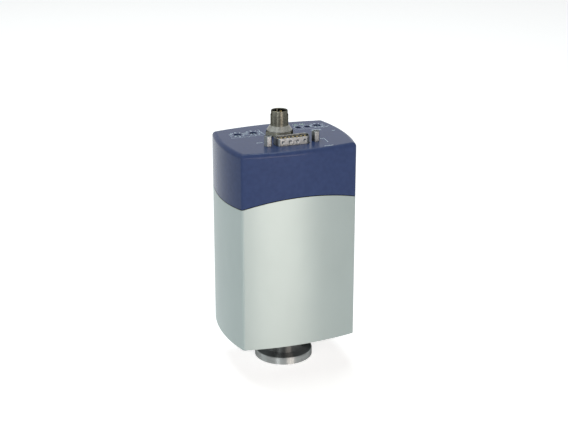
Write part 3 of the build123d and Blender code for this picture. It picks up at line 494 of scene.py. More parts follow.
FINISHES: dict[str, Finish] = {
    # The tube's colour is darkened above 5.1 mm as painted shade under the housing.
    "stainless": TurnedMetal("turned_stainless", (0.38, 0.40, 0.395), 0.42, 1.0, 0.08, streak=1.0, rim_tint=0.1,
                              dull_from=5.1, dull_shade=0.22),
    "housing_metal": BlastedMetal("satin_silver", (0.385, 0.452, 0.443), 0.45, 0.6, 0.3, streak=0.85),
    "plate_metal": BlastedMetal("milled_plate", (0.50, 0.51, 0.52), 0.38, 1.0, 0.15, depth=0.002),
    "cap_blue": MouldedPlastic("cap_blue_gloss", (0.036, 0.060, 0.155), 0.22, 0.0, 0.1, specular=0.105),
    "seal_rubber": MouldedPlastic("seal_black_rubber", (0.008, 0.010, 0.012), 0.8, 0.0, 0.0, specular=0.15,
                                  grain_depth=0.01),
    "connector_nickel": PlatedMetal("nickel_on_brass", (0.22, 0.217, 0.180), 0.42, 1.0, 0.06, streak=1.0,
                                    rim_tint=0.0, tarnish=(0.18, 0.176, 0.140)),
    "connector_tin": PlatedMetal("tin_on_steel", (0.25, 0.268, 0.278), 0.34, 1.0, 0.06, streak=0.8,
                                 rim_tint=0.4, tarnish=(0.18, 0.185, 0.18)),
    "gold_contact": PlatedMetal("gold_contact", (0.83, 0.62, 0.24), 0.2, 1.0, 0.05,
                                tarnish=(0.62, 0.42, 0.15)),
    "connector_black": MouldedPlastic("insert_black", (0.008, 0.008, 0.007), 0.5, 0.0, 0.1, specular=0.1),
    "connector_green": MouldedPlastic("insert_olive", (0.10, 0.125, 0.045), 0.4, 0.0, 0.1),
    "board_green": BoardLacquer("board_green", (0.012, 0.10, 0.045), 0.3, 0.0, 0.05),
    "part_black": MouldedPlastic("component_black", (0.02, 0.02, 0.022), 0.5, 0.0, 0.1),
    "rotor_grey": MouldedPlastic("rotor_mid_grey", (0.20, 0.27, 0.33), 0.35, 0.0, 0.08),
    "rotor_brass": PlatedMetal("rotor_brass", (0.58, 0.46, 0.24), 0.28, 1.0, 0.06,
                               tarnish=(0.36, 0.26, 0.12)),
    "copper_wire": WoundWire("wound_copper", (0.55, 0.22, 0.09), 0.3, 0.8),
    "ferrite": MouldedPlastic("sintered_ferrite", (0.05, 0.05, 0.055), 0.6, 0.2, 0.2, grain_depth=0.01),
    "can_metal": PlatedMetal("bright_can", (0.74, 0.74, 0.75), 0.2, 1.0, 0.15, tarnish=(0.6, 0.6, 0.6)),
    "relay_white": MouldedPlastic("case_white", (0.72, 0.71, 0.66), 0.4, 0.0, 0.15),
    "lamp_clear": ClearMoulding("lamp_clear", (0.55, 0.88, 0.80), 0.12),
    "bead_glass": ClearMoulding("bead_glass", (0.30, 0.52, 0.46), 0.1, passing=0.6),
    "screw_steel": PlatedMetal("zinc_screw", (0.58, 0.59, 0.60), 0.3, 1.0, 0.05, tarnish=(0.42, 0.42, 0.40)),
    "wire_metal": TurnedMetal("drawn_wire", (0.45, 0.44, 0.43), 0.3, 1.0, 0.03, pitch=0.1),
}
PRINT_INK = ScreenedInk("print_pale_blue", plain_light(196, 212, 226), 0.5)
# A lighter, smoother copy of the nickel plating for the shoulder cone: partly a polished finish, partly a
# painted highlight where the cone reflects the bright background.
NICKEL_PAINTED_HIGHLIGHT = PlatedMetal("nickel_painted_highlight", (0.28, 0.285, 0.265), 0.35, 1.0, 0.06, streak=0.8,
                            tarnish=(0.20, 0.20, 0.175))


def dress(piece: bpy.types.Object, finish: Finish) -> None:
    """Gives a piece one finish all over.

    Args:
        piece: The piece.
        finish: Its finish.
    """
    piece.data.materials.clear()
    piece.data.materials.append(finish.material())


# ---- Meshes ----


class MeshSketch:
    """A mesh under construction, in millimetres."""

    def __init__(self) -> None:
        """Starts with nothing."""
        self.build = bmesh.new()

    def loft(self, rings: Sequence[Ring], cap_ends: bool = False, join_last: bool = False) -> None:
        """Skins a row of rings that have the same number of points.

        Args:
            rings: The rings, in order.
            cap_ends: Whether the first and last ring get a face.
            join_last: Whether the last ring meets the first.
        """
        rows = [[self.build.verts.new(point) for point in ring] for ring in rings]
        count = len(rows[0])
        pairs = list(zip(rows, rows[1:]))
        if join_last:
            pairs.append((rows[-1], rows[0]))
        for low, high in pairs:
            for i in range(count):
                j = (i + 1) % count
                self.build.faces.new((low[i], low[j], high[j], high[i]))
        if cap_ends:
            self.build.faces.new(list(reversed(rows[0])))
            self.build.faces.new(rows[-1])

    def turn(self, profile: Sequence[tuple[float, float]], centre: Vector, segments: int = 96,
             shape: Callable[[float, float, float], float] | None = None) -> None:
        """Turns a closed profile round an upright axis.

        Args:
            profile: Points of radius and height, anticlockwise.
            centre: A point on the axis.
            segments: How many steps make a full turn.
            shape: Gives the radius from radius, height and angle, or None for plain turning.
        """
        rings = []
        for radius, height in profile:
            ring = []
            for i in range(segments):
                angle = TURN * i / segments
                at = shape(radius, height, angle) if shape else radius
                x, y = centre.x + at * math.cos(angle), centre.y + at * math.sin(angle)
                ring.append(Vector((x, y, height)))
            rings.append(ring)
        self.loft(rings, join_last=True)

    def block(self, low: Vector, high: Vector) -> None:
        """A block between two corners."""
        rings = [
            [Vector((low.x, low.y, z)), Vector((high.x, low.y, z)),
             Vector((high.x, high.y, z)), Vector((low.x, high.y, z))]
            for z in (low.z, high.z)
        ]
        self.loft(rings, cap_ends=True)

    def take(self, mesh: bpy.types.Mesh, place: Matrix) -> None:
        """Adds another mesh, moved to its place, and removes the original."""
        start = len(self.build.verts)
        self.build.from_mesh(mesh)
        self.build.verts.ensure_lookup_table()
        for vert in self.build.verts[start:]:
            vert.co = place @ vert.co
        bpy.data.meshes.remove(mesh)

    def piece(self, name: str, finish: Finish, smooth_below: float = 35.0) -> bpy.types.Object:
        """Turns the sketch into an object in the shared frame.

        Args:
            name: Name of the piece.
            finish: Its finish.
            smooth_below: Edges that turn by less than this many degrees shade smoothly.

        Returns:
            The object.
        """
        bmesh.ops.recalc_face_normals(self.build, faces=self.build.faces)
        self.build.transform(Matrix.Scale(MM, 4))
        limit = math.radians(smooth_below)
        for edge in self.build.edges:
            edge.smooth = len(edge.link_faces) == 2 and edge.calc_face_angle(0.0) < limit
        for face in self.build.faces:
            face.smooth = True
        mesh = bpy.data.meshes.new(name)
        self.build.to_mesh(mesh)
        self.build.free()
        piece = bpy.data.objects.new(name, mesh)
        bpy.context.scene.collection.objects.link(piece)
        dress(piece, finish)
        return piece


def baked_mesh(curve: bpy.types.Curve) -> bpy.types.Mesh:
    """Turns a curve or a text into a mesh, and removes the original.

    Args:
        curve: The curve or text.

    Returns:
        The mesh.
    """
    holder = bpy.data.objects.new(curve.name, curve)
    bpy.context.scene.collection.objects.link(holder)
    bpy.context.view_layer.update()
    graph = bpy.context.evaluated_depsgraph_get()
    mesh = bpy.data.meshes.new_from_object(holder.evaluated_get(graph))
    bpy.data.objects.remove(holder)
    bpy.data.curves.remove(curve)
    return mesh


def flat_shape(outer: Sequence[tuple[float, float]], holes: Sequence[Sequence[tuple[float, float]]],
               thickness: float) -> bpy.types.Mesh:
    """A flat plate with holes, standing on the level z = 0.

    Args:
        outer: Outline of the plate in millimetres.
        holes: Outlines of its holes.
        thickness: Its thickness.

    Returns:
        The mesh, in millimetres.
    """
    curve = bpy.data.curves.new("flat_shape", "CURVE")
    curve.dimensions = "2D"
    curve.fill_mode = "BOTH"
    curve.extrude = thickness / 2
    for line in [outer, *holes]:
        spline = curve.splines.new("POLY")
        spline.points.add(len(line) - 1)
        for point, (x, y) in zip(spline.points, line):
            point.co = (x, y, 0, 1)
        spline.use_cyclic_u = True
    mesh = baked_mesh(curve)
    mesh.transform(Matrix.Translation((0, 0, thickness / 2)))
    return mesh


def circle(x: float, y: float, radius: float, steps: int = 48) -> list[tuple[float, float]]:
    """Points round a circle."""
    return [
        (x + radius * math.cos(TURN * i / steps), y + radius * math.sin(TURN * i / steps))
        for i in range(steps)
    ]


def hexagon_radius(flats: float, angle: float) -> float:
    """Distance from a hexagon's middle to its side, at an angle from a corner."""
    sixth = TURN / 6
    return flats / 2 / math.cos((angle % sixth) - sixth / 2)


@dataclass(frozen=True)
class ScrewThread:
    """An outside thread on an upright axis.

    Attributes:
        pitch: Distance between turns in millimetres.
        depth: Depth of the groove.
        foot: Height at which the thread starts.
        top: Height at which it ends.
        groove_share: Half the groove's width as a share of the pitch.
    """

    pitch: float
    depth: float
    foot: float
    top: float
    groove_share: float = 0.27

    def radius(self, radius: float, height: float, angle: float) -> float:
        """Radius of the threaded surface at a height and an angle."""
        phase = (height / self.pitch - angle / TURN) % 1.0
        groove = max(0.0, 1.0 - abs(phase - 0.5) / self.groove_share)
        fade = min(1.0, (height - self.foot) / self.pitch, (self.top - height) / self.pitch)
        return radius - self.depth * groove * max(0.0, fade)

    def heights(self, steps: int = 10) -> list[float]:
        """Heights of the rings that carry the thread."""
        count = round((self.top - self.foot) / self.pitch * steps)
        return [self.foot + (self.top - self.foot) * i / count for i in range(count + 1)]


# ---- The gauge ----


@dataclass
class PackedNodes:
    """The CAD nodes, dressed by the slots that the record gives them.

    Attributes:
        record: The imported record.
        nodes: The nodes by name.
    """

    record: dict
    nodes: dict[str, bpy.types.Object]

    def dress_all(self) -> None:
        """Gives each node the finish of its slot."""
        for part in self.record["subparts"]:
            node = self.nodes[part["node"]]
            dress(node, FINISHES[part["material_slot"]])
            LOG.info("node %s: %s", part["node"], part["material_slot"])


@dataclass
class SeamGasket:
    """Black rubber bead in the seam, pressed out until it is all but flush with the shell, so that its black
    also stands in for the shadow in the gap under the cap.

    Attributes:
        node: The CAD gasket, which lies back in the seam.
        squeeze: How far its outer side moves outwards, in millimetres.
        weld: Distance below which points of its mesh are joined.
    """

    node: bpy.types.Object
    squeeze: float = 0.33
    weld: float = 0.001

    def build_bead(self) -> bpy.types.Object:
        """Builds the bead and puts it in the CAD gasket's place."""
        sketch = MeshSketch()
        sketch.take(self.node.data.copy(), Matrix.Scale(1 / MM, 4) @ self.node.matrix_world)
        bmesh.ops.remove_doubles(sketch.build, verts=sketch.build.verts, dist=self.weld)
        sketch.build.normal_update()
        for vert in sketch.build.verts:
            outward = Vector((0, 0, 0))
            for face in vert.link_faces:
                if abs(face.normal.z) < 0.5 and face.normal.xy.dot(vert.co.xy) > 0:
                    outward += face.normal
            if outward.length:
                vert.co += Vector((outward.x, outward.y, 0)).normalized() * self.squeeze
        # The bead's black is partly the seal and partly painted shadow of the gap under the cap.
        bead = sketch.piece("seam_gasket_shadow_bead", FINISHES["seal_rubber"])
        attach(bead, "root")
        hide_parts("seam_gasket")
        LOG.info("piece %s", bead.name)
        return bead


@dataclass
class RectangularConnector:
    """Front shell of the D-shaped connector: plate, wall with a rolled rim, dimples.

    Attributes:
        centre_y: Y of the connector's middle, in millimetres.
        plate_z: Height of the plate's face.
        rim_z: Height of the rim.
        width: Width across the wide side.
        depth: Depth over the wall.
        lean: Lean of the short sides in degrees.
        corner: Radius of the corners.
        sheet: Thickness of the wall.
        plate: Width and depth of the plate.
        plate_thickness: Thickness of the plate.
        plate_corner: Radius of the plate's corners.
        jack_spacing: Distance between the two posts.
        jack_hole: Radius of the posts' holes.
        dimple_xs: X of the dimples.
        dimple_z: Height of the dimples.
        dimple_radius: Their radius.
        dimple_depth: Their depth.
        steps: Steps along a long and along a short side of the wall.
        rows: Rows of points up the wall.
    """

    centre_y: float = -15.7
    plate_z: float = TOP_Z - 0.8
    rim_z: float = TOP_Z + 4.9
    width: float = 25.0
    depth: float = 8.4
    lean: float = 10.0
    corner: float = 2.4
    sheet: float = 0.5
    plate: tuple[float, float] = (39.2, 12.5)
    plate_thickness: float = 0.8
    plate_corner: float = 1.5
    jack_spacing: float = 33.32
    jack_hole: float = 1.57
    dimple_xs: tuple[float, ...] = (-7.5, -2.5, 2.5, 7.5)
    dimple_z: float = TOP_Z + 2.2
    dimple_radius: float = 1.05
    dimple_depth: float = 0.34
    steps: tuple[int, int] = (76, 20)
    rows: int = 24

    def outline(self, growth: float) -> list[tuple[float, float]]:
        """Plan of the wall, moved outwards by growth.

        Args:
            growth: Distance outwards in millimetres.

        Returns:
            Points of the outline, anticlockwise, close enough for the dimples.
        """
        slope = math.tan(math.radians(self.lean))
        half = self.depth / 2 + growth
        rear = self.width / 2 + growth * (1 + slope)
        front = rear - 2 * half * slope
        corners = [(-front, -half), (front, -half), (rear, half), (-rear, half)]
        radius = self.corner + growth
        arcs = []
        for i, (x, y) in enumerate(corners):
            before = Vector(corners[i - 1]) - Vector((x, y))
            after = Vector(corners[(i + 1) % 4]) - Vector((x, y))
            before.normalize()
            after.normalize()
            half_angle = before.angle(after) / 2
            middle = Vector((x, y)) + (before + after).normalized() * radius / math.sin(half_angle)
            start = Vector((x, y)) + before * radius / math.tan(half_angle) - middle
            sweep = math.pi - 2 * half_angle
            arcs.append([
                middle + Matrix.Rotation(sweep * k / 8, 2) @ start for k in range(9)
            ])
        points = []
        for i, arc in enumerate(arcs):
            points += arc
            steps = self.steps[i % 2]
            first, last = arc[-1], arcs[(i + 1) % 4][0]
            points += [first.lerp(last, k / steps) for k in range(1, steps)]
        return [(p.x, p.y) for p in points]

    def dent(self, x: float, y: float, z: float) -> float:
        """How far the wall is pressed inwards at a point, as a change of y."""
        away = min(math.hypot(x - at, z - self.dimple_z) for at in self.dimple_xs)
        if away >= self.dimple_radius or abs(y) < self.depth / 2 - 2 * self.sheet:
            return 0.0
        share = 1 - (away / self.dimple_radius) ** 2
        return -math.copysign(self.dimple_depth * share * share * (2 - share), y)

    def build_shell(self) -> bpy.types.Object:
        """Builds the plate and the wall and puts them in the CAD shell's place."""
        sketch = MeshSketch()
        foot = self.plate_z - self.plate_thickness
        roll = self.sheet / 2
        start = self.plate_z + 0.2
        top = self.rim_z - roll
        rows = self.rows
        profile = [(0.0, foot)]
        profile += [(0.0, start + (top - start) * i / rows) for i in range(rows + 1)]
        profile += [
            (roll * math.cos(math.pi * k / 8) - roll, top + roll * math.sin(math.pi * k / 8))
            for k in range(1, 8)
        ]
        profile += [
            (-self.sheet, top - (top - foot) * i / rows) for i in range(rows + 1)
        ]
        rings = []
        for growth, z in profile:
            ring = []
            for x, y in self.outline(growth):
                ring.append(Vector((x, y + self.centre_y + self.dent(x, y, z), z)))
            rings.append(ring)
        sketch.loft(rings, join_last=True)
        half_x, half_y = self.plate[0] / 2, self.plate[1] / 2
        inset = self.plate_corner
        plan = []
        for i, (cx, cy) in enumerate([(1, 1), (-1, 1), (-1, -1), (1, -1)]):
            for k in range(7):
                angle = TURN / 4 * (i + k / 6)
                plan.append((
                    cx * (half_x - inset) + inset * math.cos(angle),
                    cy * (half_y - inset) + inset * math.sin(angle),
                ))
        holes = [self.outline(-0.05)]
        holes += [circle(side * self.jack_spacing / 2, 0, self.jack_hole, 32) for side in (-1, 1)]
        plate = flat_shape(plan, holes, self.plate_thickness)
        sketch.take(plate, Matrix.Translation((0, self.centre_y, foot)))
        shell = sketch.piece("dsub_shell_pressed", FINISHES["connector_tin"])
        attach(shell, "root")
        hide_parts("dsub_front_shell")
        LOG.info("piece %s", shell.name)
        return shell


@dataclass
class RoundConnector:
    """Body of the round screw connector, with its threads cut.

    Attributes:
        centre_y: Y of the connector's axis, in millimetres.
        foot_z: Height of the rear end.
        flange_z: Height of the flange's lower face.
        flange_height: Height of the flange.
        flange_flats: Width of the flange across flats.
        neck_radius: Radius of the neck inside the flange.
        shoulder: Radius at the foot and height of the cone on which the thread ends.
        barrel_radius: Outer radius of the thread.
        lead_z: Height at which the plain end starts.
        lead_radius: Radius of the plain end.
        rim_z: Height of the mouth's rim.
        bore: Radius of the mouth.
        rear_radius: Outer radius of the rear thread.
        face_z: Height of the insert's face.
        key: Width and depth of the key in the mouth.
        key_setback: Distance from the rim down to the key.
        pitch: Pitch of both threads.
        rim_round: Rounding of the mouth's outer edge.
        smooth_below: Edges that turn by less than this many degrees shade smoothly.
    """

    centre_y: float = ROUND_Y
    foot_z: float = TOP_Z - 7.5
    flange_z: float = TOP_Z + 0.4
    flange_height: float = 2.4
    flange_flats: float = 17.0
    neck_radius: float = 7.0
    shoulder: tuple[float, float] = (8.5, 3.6)
    barrel_radius: float = 6.0
    lead_z: float = TOP_Z + 13.5
    lead_radius: float = 5.6
    rim_z: float = TOP_Z + 16.5
    bore: float = 4.95
    rear_radius: float = 8.0
    face_z: float = TOP_Z + 8.5
    key: tuple[float, float] = (1.0, 0.6)
    key_setback: float = 1.4
    pitch: float = 1.0
    rim_round: float = 0.3
    smooth_below: float = 28.0

    def build_body(self) -> bpy.types.Object:
        """Builds the body and puts it in the CAD body's place."""
        centre = Vector((0, self.centre_y, 0))
        sketch = MeshSketch()
        neck_z = self.flange_z + self.flange_height
        barrel_z = neck_z + self.shoulder[1]
        barrel = ScrewThread(self.pitch, 0.34, barrel_z, self.lead_z)
        rear = ScrewThread(self.pitch, 0.4, self.foot_z, self.flange_z)
        profile = [(self.bore, self.foot_z)]
        profile += [(self.rear_radius, z) for z in rear.heights(8)]
        profile += [(self.neck_radius, self.flange_z), (self.neck_radius, neck_z)]
        profile += [(self.barrel_radius - 0.1, neck_z), (self.barrel_radius - 0.1, barrel_z - 0.1)]
        profile += [(self.barrel_radius, z) for z in barrel.heights()]
        edge = self.rim_round
        profile += [(self.lead_radius, self.lead_z), (self.lead_radius, self.rim_z - edge)]
        for step in range(1, 5):
            angle = math.pi / 8 * step
            profile.append((
                self.lead_radius - edge + edge * math.cos(angle),
                self.rim_z - edge + edge * math.sin(angle),
            ))
        profile += [
            (self.bore + edge / 2, self.rim_z), (self.bore, self.rim_z - edge / 2), (self.bore, self.face_z),
        ]

        def cut(radius: float, height: float, angle: float) -> float:
            """Radius after both threads are cut."""
            if radius == self.rear_radius and height <= self.flange_z:
                return rear.radius(radius, height, angle)
            if radius == self.barrel_radius:
                return barrel.radius(radius, height, angle)
            return radius

        sketch.turn(profile, centre, 120, cut)
        slope = math.sqrt(3)
        flange = [(self.neck_radius - 0.5, self.flange_z)]
        levels = [0.0, 0.1, 0.35, 0.7, 0.8, 0.85, 0.9, 0.94, 0.97, 1.0]
        flange += [(self.flange_flats, self.flange_z + self.flange_height * share) for share in levels]
        flange += [(self.neck_radius - 0.5, neck_z)]

        def hexagonal(radius: float, height: float, angle: float) -> float:
            """Radius of a hexagon whose upper corners are cut by a cone."""
            if radius < self.neck_radius:
                return radius
            cone = self.flange_flats / 2 - 0.15 + (neck_z - height) * slope
            return min(hexagon_radius(self.flange_flats, angle), cone)

        sketch.turn(flange, centre, 144, hexagonal)
        width, depth = self.key
        sketch.block(
            Vector((-width / 2, self.centre_y + self.bore - depth, self.face_z)),
            Vector((width / 2, self.centre_y + self.bore + 0.2, self.rim_z - self.key_setback)),
        )
        body = sketch.piece("round_connector_threaded", FINISHES["connector_nickel"], self.smooth_below)
        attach(body, "root")
        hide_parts("round_body")
        LOG.info("piece %s", body.name)
        return body

    def build_shoulder(self) -> bpy.types.Object:
        """Builds the cone between the flange and the thread, in a lighter copy of the nickel plating that
        paints in its highlight.
        """
        foot_radius, height = self.shoulder
        foot_z = self.flange_z + self.flange_height
        sketch = MeshSketch()
        profile = [(self.barrel_radius - 0.3, foot_z), (foot_radius, foot_z), (foot_radius, foot_z + 0.4)]
        profile += [(self.barrel_radius + 0.3, foot_z + height), (self.barrel_radius - 0.3, foot_z + height)]
        sketch.turn(profile, Vector((0, self.centre_y, 0)))
        shoulder = sketch.piece("round_connector_shoulder", NICKEL_PAINTED_HIGHLIGHT, self.smooth_below)
        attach(shoulder, "root")
        LOG.info("piece %s", shoulder.name)
        return shoulder


class DialMarks(Enum):
    """What is printed round an operating element."""

    DIGITS = "ten digits in a ring"
    ARC = "an arc with end marks"
    RING = "a thin ring"


@dataclass(frozen=True)
class Dial:
    """The print round one operating element.

    Attributes:
        name: Name of the piece.
        x: X of its middle in millimetres.
        y: Y of its middle.
        radius: Radius of the marks' middle line.
        marks: What is printed.
    """

    name: str
    x: float
    y: float
    radius: float
    marks: DialMarks


@dataclass
class PanelPrint:
    """Everything printed on the cap's flat top.

    Attributes:
        level: Height of the cap's top in millimetres.
        ink: Thickness of the ink.
        line: Width of a printed line.
        digit_height: Height of the digits.
        digit_share: A digit's height as a share of the font's size.
        digit_weight: How far the digits' outlines are moved outwards.
        dials: What is printed round the operating elements.
        bars: Printed lines, each from a point to a point, and its width.
    """

    level: float = TOP_Z
    ink: float = 0.03
    line: float = 0.28
    digit_height: float = 2.2
    digit_share: float = 0.72
    digit_weight: float = 0.08
    dials: tuple[Dial, ...] = (
        Dial("print_address_tens", -27.0, 15.0, 4.6, DialMarks.DIGITS),
        Dial("print_address_units", -16.0, 15.0, 4.6, DialMarks.DIGITS),
        Dial("print_data_rate", 31.0, 17.0, 4.3, DialMarks.DIGITS),
        Dial("print_setpoint_a", 17.2, 17.0, 2.9, DialMarks.ARC),
        Dial("print_setpoint_b", 23.8, 17.0, 2.9, DialMarks.ARC),
        Dial("print_light_a", 17.5, 23.0, 1.9, DialMarks.RING),
        Dial("print_light_b", 22.5, 23.0, 1.9, DialMarks.RING),
    )
    bars: tuple[tuple[float, float, float, float, float], ...] = (
        (-33.5, 8.2, -10.2, 8.2, 0.3), (-33.5, 8.2, -33.5, 9.8, 0.3), (-10.2, 8.2, -10.2, 21.5, 0.3),
        (-21.5, 8.2, -21.5, 6.7, 0.3), (13.2, 11.6, 37.0, 11.6, 0.3), (13.2, 11.6, 13.2, 13.2, 0.3),
        (22.9, 7.8, 29.8, 7.8, 0.75), (22.9, 6.2, 29.8, 6.2, 0.75), (22.9, 4.6, 27.0, 4.6, 0.75),
        (-21.8, -7.8, -17.6, -7.8, 0.7), (21.2, -13.1, 23.8, -13.1, 0.6), (23.8, -13.1, 23.0, -22.2, 0.4),
        (34.6, 11.6, 38.4, 13.6, 0.4), (35.6, 1.7, 38.0, 1.7, 0.6),
        (17.4, -29.4, 23.7, -29.4, 0.6),
    )

    def strip(self, sketch: MeshSketch, start: Vector, end: Vector, width: float) -> None:
        """Adds a straight printed line.

        Args:
            sketch: The mesh to add to.
            start: One end.
            end: The other end.
            width: Width of the line.
        """
        along = (end - start).normalized()
        aside = Vector((-along.y, along.x, 0)) * width / 2
        rings = []
        for z in (self.level, self.level + self.ink):
            lift = Vector((0, 0, z))
            rings.append([start - aside + lift, end - aside + lift, end + aside + lift, start + aside + lift])
        sketch.loft(rings, cap_ends=True)

    def arc(self, sketch: MeshSketch, dial: Dial, first: float, last: float) -> None:
        """Adds a printed arc or ring round a dial.

        Args:
            sketch: The mesh to add to.
            dial: The dial.
            first: Angle of its start in degrees, from the +X side.
            last: Angle of its end.
        """
        whole = last - first >= 360
        steps = 60 if whole else 48
        half = self.line / 2
        section = [(-half, 0.0), (half, 0.0), (half, self.ink), (-half, self.ink)]
        rings = []
        for i in range(steps if whole else steps + 1):
            angle = math.radians(first + (last - first) * i / steps)
            rings.append([
                Vector((
                    dial.x + (dial.radius + across) * math.cos(angle),
                    dial.y + (dial.radius + across) * math.sin(angle),
                    self.level + up,
                ))
                for across, up in section
            ])
        sketch.loft(rings, cap_ends=not whole, join_last=whole)

    def digit(self, sketch: MeshSketch, text: str, x: float, y: float, turn: float) -> None:
        """Adds one digit.

        Args:
            sketch: The mesh to add to.
            text: The digit.
            x: X of its middle in millimetres.
            y: Y of its middle.
            turn: Angle it is turned by, in radians.
        """
        curve = bpy.data.curves.new("digit", "FONT")
        curve.body = text
        curve.size = self.digit_height / self.digit_share
        curve.align_x = "CENTER"
        curve.align_y = "CENTER"
        curve.extrude = self.ink / 2
        curve.offset = self.digit_weight
        curve.resolution_u = 3
        place = Matrix.Translation((x, y, self.level + self.ink / 2)) @ Matrix.Rotation(turn, 4, "Z")
        sketch.take(baked_mesh(curve), place)

    def finish_piece(self, sketch: MeshSketch, name: str) -> None:
        """Makes a printed piece of the sketch and lets it ride on the cap's body."""
        piece = sketch.piece(name, PRINT_INK)
        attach(piece, "root")
        LOG.info("piece %s", name)

    def build(self) -> None:
        """Prints the dials and the lines."""
        for dial in self.dials:
            sketch = MeshSketch()
            if dial.marks is DialMarks.DIGITS:
                for i in range(10):
                    angle = TURN / 4 - TURN * i / 10
                    self.digit(
                        sketch, str(i), dial.x + dial.radius * math.cos(angle),
                        dial.y + dial.radius * math.sin(angle), angle - TURN / 4,
                    )
            elif dial.marks is DialMarks.ARC:
                self.arc(sketch, dial, -40.0, 220.0)
                for degrees in (-40.0, 220.0):
                    angle = math.radians(degrees)
                    outward = Vector((math.cos(angle), math.sin(angle), 0))
                    middle = Vector((dial.x, dial.y, 0))
                    self.strip(sketch, middle + outward * (dial.radius - 0.5),
                               middle + outward * (dial.radius + 0.7), self.line)
            else:
                self.arc(sketch, dial, 0.0, 360.0)
            self.finish_piece(sketch, dial.name)
        sketch = MeshSketch()
        for x0, y0, x1, y1, width in self.bars:
            self.strip(sketch, Vector((x0, y0, 0)), Vector((x1, y1, 0)), width)
        self.finish_piece(sketch, "print_lines")


# ---- Studio ----


@dataclass(frozen=True)
class Softbox:
    """A soft rectangular lamp.

    Attributes:
        name: Its name.
        place: Where it hangs, in metres.
        aim: The point it shines at.
        size: Width and height in metres.
        power: Power in watts.
        tint: Colour of its light.
    """

    name: str
    place: Colour
    aim: Colour
    size: tuple[float, float]
    power: float
    tint: Colour = (1.0, 1.0, 1.0)

    def hang(self) -> None:
        """Puts the lamp in the scene."""
        lamp = bpy.data.lights.new(self.name, "AREA")
        lamp.shape = "RECTANGLE"
        lamp.size, lamp.size_y = self.size
        lamp.energy = self.power
        lamp.color = self.tint
        holder = bpy.data.objects.new(self.name, lamp)
        holder.location = self.place
        look = Vector(self.aim) - Vector(self.place)
        holder.rotation_euler = look.to_track_quat("-Z", "Y").to_euler()
        bpy.context.scene.collection.objects.link(holder)


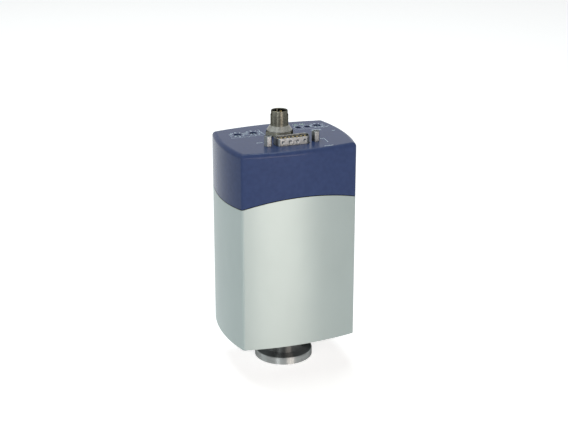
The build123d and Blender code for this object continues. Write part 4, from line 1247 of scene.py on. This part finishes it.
@dataclass
class Studio:
    """Floor, background, lamps and camera.

    Attributes:
        floor_size: Side of the floor in metres.
        ambient: Strength of the even light from all round.
        lens: Focal length in millimetres on a 36 mm wide frame.
        camera_place: Where the camera stands, in metres.
        camera_pitch: Degrees it looks down.
        camera_yaw: Degrees it looks from +Y towards +X.
    """

    floor_size: float = 6.0
    ambient: float = 0.2
    lens: float = 85.07
    camera_place: Colour = (-0.3062, -0.8010, 0.4132)
    camera_pitch: float = 20.12
    camera_yaw: float = 20.95
    lamps: tuple[Softbox, ...] = (
        Softbox("key_softbox", (0.13, -0.92, 0.18), (0, 0, 0.08), (0.44, 0.5), 4.5, (1.0, 0.85, 0.77)),
        Softbox("fill_softbox", (-0.85, -0.95, 0.48), (0, 0, 0.08), (0.34, 0.7), 3.4),
        Softbox("left_softbox", (-1.3, 0.3, 0.5), (0, 0, 0.08), (0.6, 0.9), 1.5, (0.88, 1.0, 1.02)),
        Softbox("top_softbox", (0.0, 0.5, 1.3), (0, 0, 0.1), (0.9, 0.9), 9.0, (0.88, 1.0, 1.03)),
    )

    def seen_directly(self, tree: bpy.types.NodeTree) -> bpy.types.NodeSocket:
        """A value that is 1 for rays that show the background, and 0 for light.

        Args:
            tree: The node tree to add to.

        Returns:
            The socket with the value.
        """
        path = tree.nodes.new("ShaderNodeLightPath")
        first = tree.nodes.new("ShaderNodeMath")
        first.operation = "MAXIMUM"
        second = tree.nodes.new("ShaderNodeMath")
        second.operation = "MAXIMUM"
        tree.links.new(path.outputs["Is Camera Ray"], first.inputs[0])
        tree.links.new(path.outputs["Is Glossy Ray"], first.inputs[1])
        tree.links.new(first.outputs[0], second.inputs[0])
        tree.links.new(path.outputs["Is Transmission Ray"], second.inputs[1])
        return second.outputs[0]

    def light_world(self) -> None:
        """Even light from all round, with a white background."""
        world = bpy.data.worlds.new("studio")
        bpy.context.scene.world = world
        world.use_nodes = True
        tree = world.node_tree
        tree.nodes.clear()
        output = tree.nodes.new("ShaderNodeOutputWorld")
        mixer = tree.nodes.new("ShaderNodeMixShader")
        dim = tree.nodes.new("ShaderNodeBackground")
        dim.inputs["Color"].default_value = (1, 1, 1, 1)
        dim.inputs["Strength"].default_value = self.ambient
        white = tree.nodes.new("ShaderNodeBackground")
        white.inputs["Color"].default_value = (1, 1, 1, 1)
        white.inputs["Strength"].default_value = 1.0
        tree.links.new(self.seen_directly(tree), mixer.inputs["Fac"])
        tree.links.new(dim.outputs[0], mixer.inputs[1])
        tree.links.new(white.outputs[0], mixer.inputs[2])
        tree.links.new(mixer.outputs[0], output.inputs["Surface"])

    def lay_floor(self) -> None:
        """A pale floor that shows white and keeps the object's shadow."""
        sketch = MeshSketch()
        half = self.floor_size / 2 / MM
        level = -0.2
        signs = ((-1, -1), (1, -1), (1, 1), (-1, 1))
        corners = [Vector((x * half, y * half, level)) for x, y in signs]
        sketch.build.faces.new([sketch.build.verts.new(c) for c in corners])
        paper = ShaderSketch("floor_paper")
        paper.surface.inputs["Base Color"].default_value = (0.83, 0.82, 0.81, 1)
        paper.surface.inputs["Roughness"].default_value = 0.9
        paper.surface.inputs["Specular IOR Level"].default_value = 0.1
        glow = paper.add("Emission")
        paper.link(self.seen_directly(paper.tree), glow.inputs["Strength"])
        glow.inputs["Color"].default_value = (0.60, 0.60, 0.60, 1)
        both = paper.add("AddShader")
        paper.link(paper.surface.outputs["BSDF"], both.inputs[0])
        paper.link(glow.outputs[0], both.inputs[1])
        paper.link(both.outputs[0], paper.output.inputs["Surface"])
        floor = sketch.piece("studio_floor", FINISHES["relay_white"])
        floor.data.materials[0] = paper.material

    def set_camera(self) -> None:
        """A camera that sees the object as the photograph does."""
        eye = bpy.data.cameras.new("photo_camera")
        eye.lens = self.lens
        eye.sensor_width = 36.0
        eye.clip_start = 0.01
        eye.dof.use_dof = False
        holder = bpy.data.objects.new("photo_camera", eye)
        holder.location = self.camera_place
        holder.rotation_euler = (
            math.radians(90 - self.camera_pitch), 0, math.radians(-self.camera_yaw),
        )
        bpy.context.scene.collection.objects.link(holder)
        bpy.context.scene.camera = holder

    def build(self) -> None:
        """Sets the studio up."""
        bpy.context.scene.view_settings.view_transform = "Standard"
        self.light_world()
        self.lay_floor()
        for lamp in self.lamps:
            lamp.hang()
        self.set_camera()
        LOG.info("studio ready")


def main() -> None:
    """Builds the gauge's visible pieces and the studio."""
    logging.basicConfig(level=logging.INFO, format="%(name)s: %(message)s")
    PackedNodes(frame["record"], frame["nodes"]).dress_all()
    SeamGasket(frame["nodes"]["seam_gasket"]).build_bead()
    RectangularConnector().build_shell()
    socket = RoundConnector()
    socket.build_body()
    socket.build_shoulder()
    PanelPrint().build()
    Studio().build()
    bpy.context.view_layer.update()


if __name__ == "__main__":
    main()
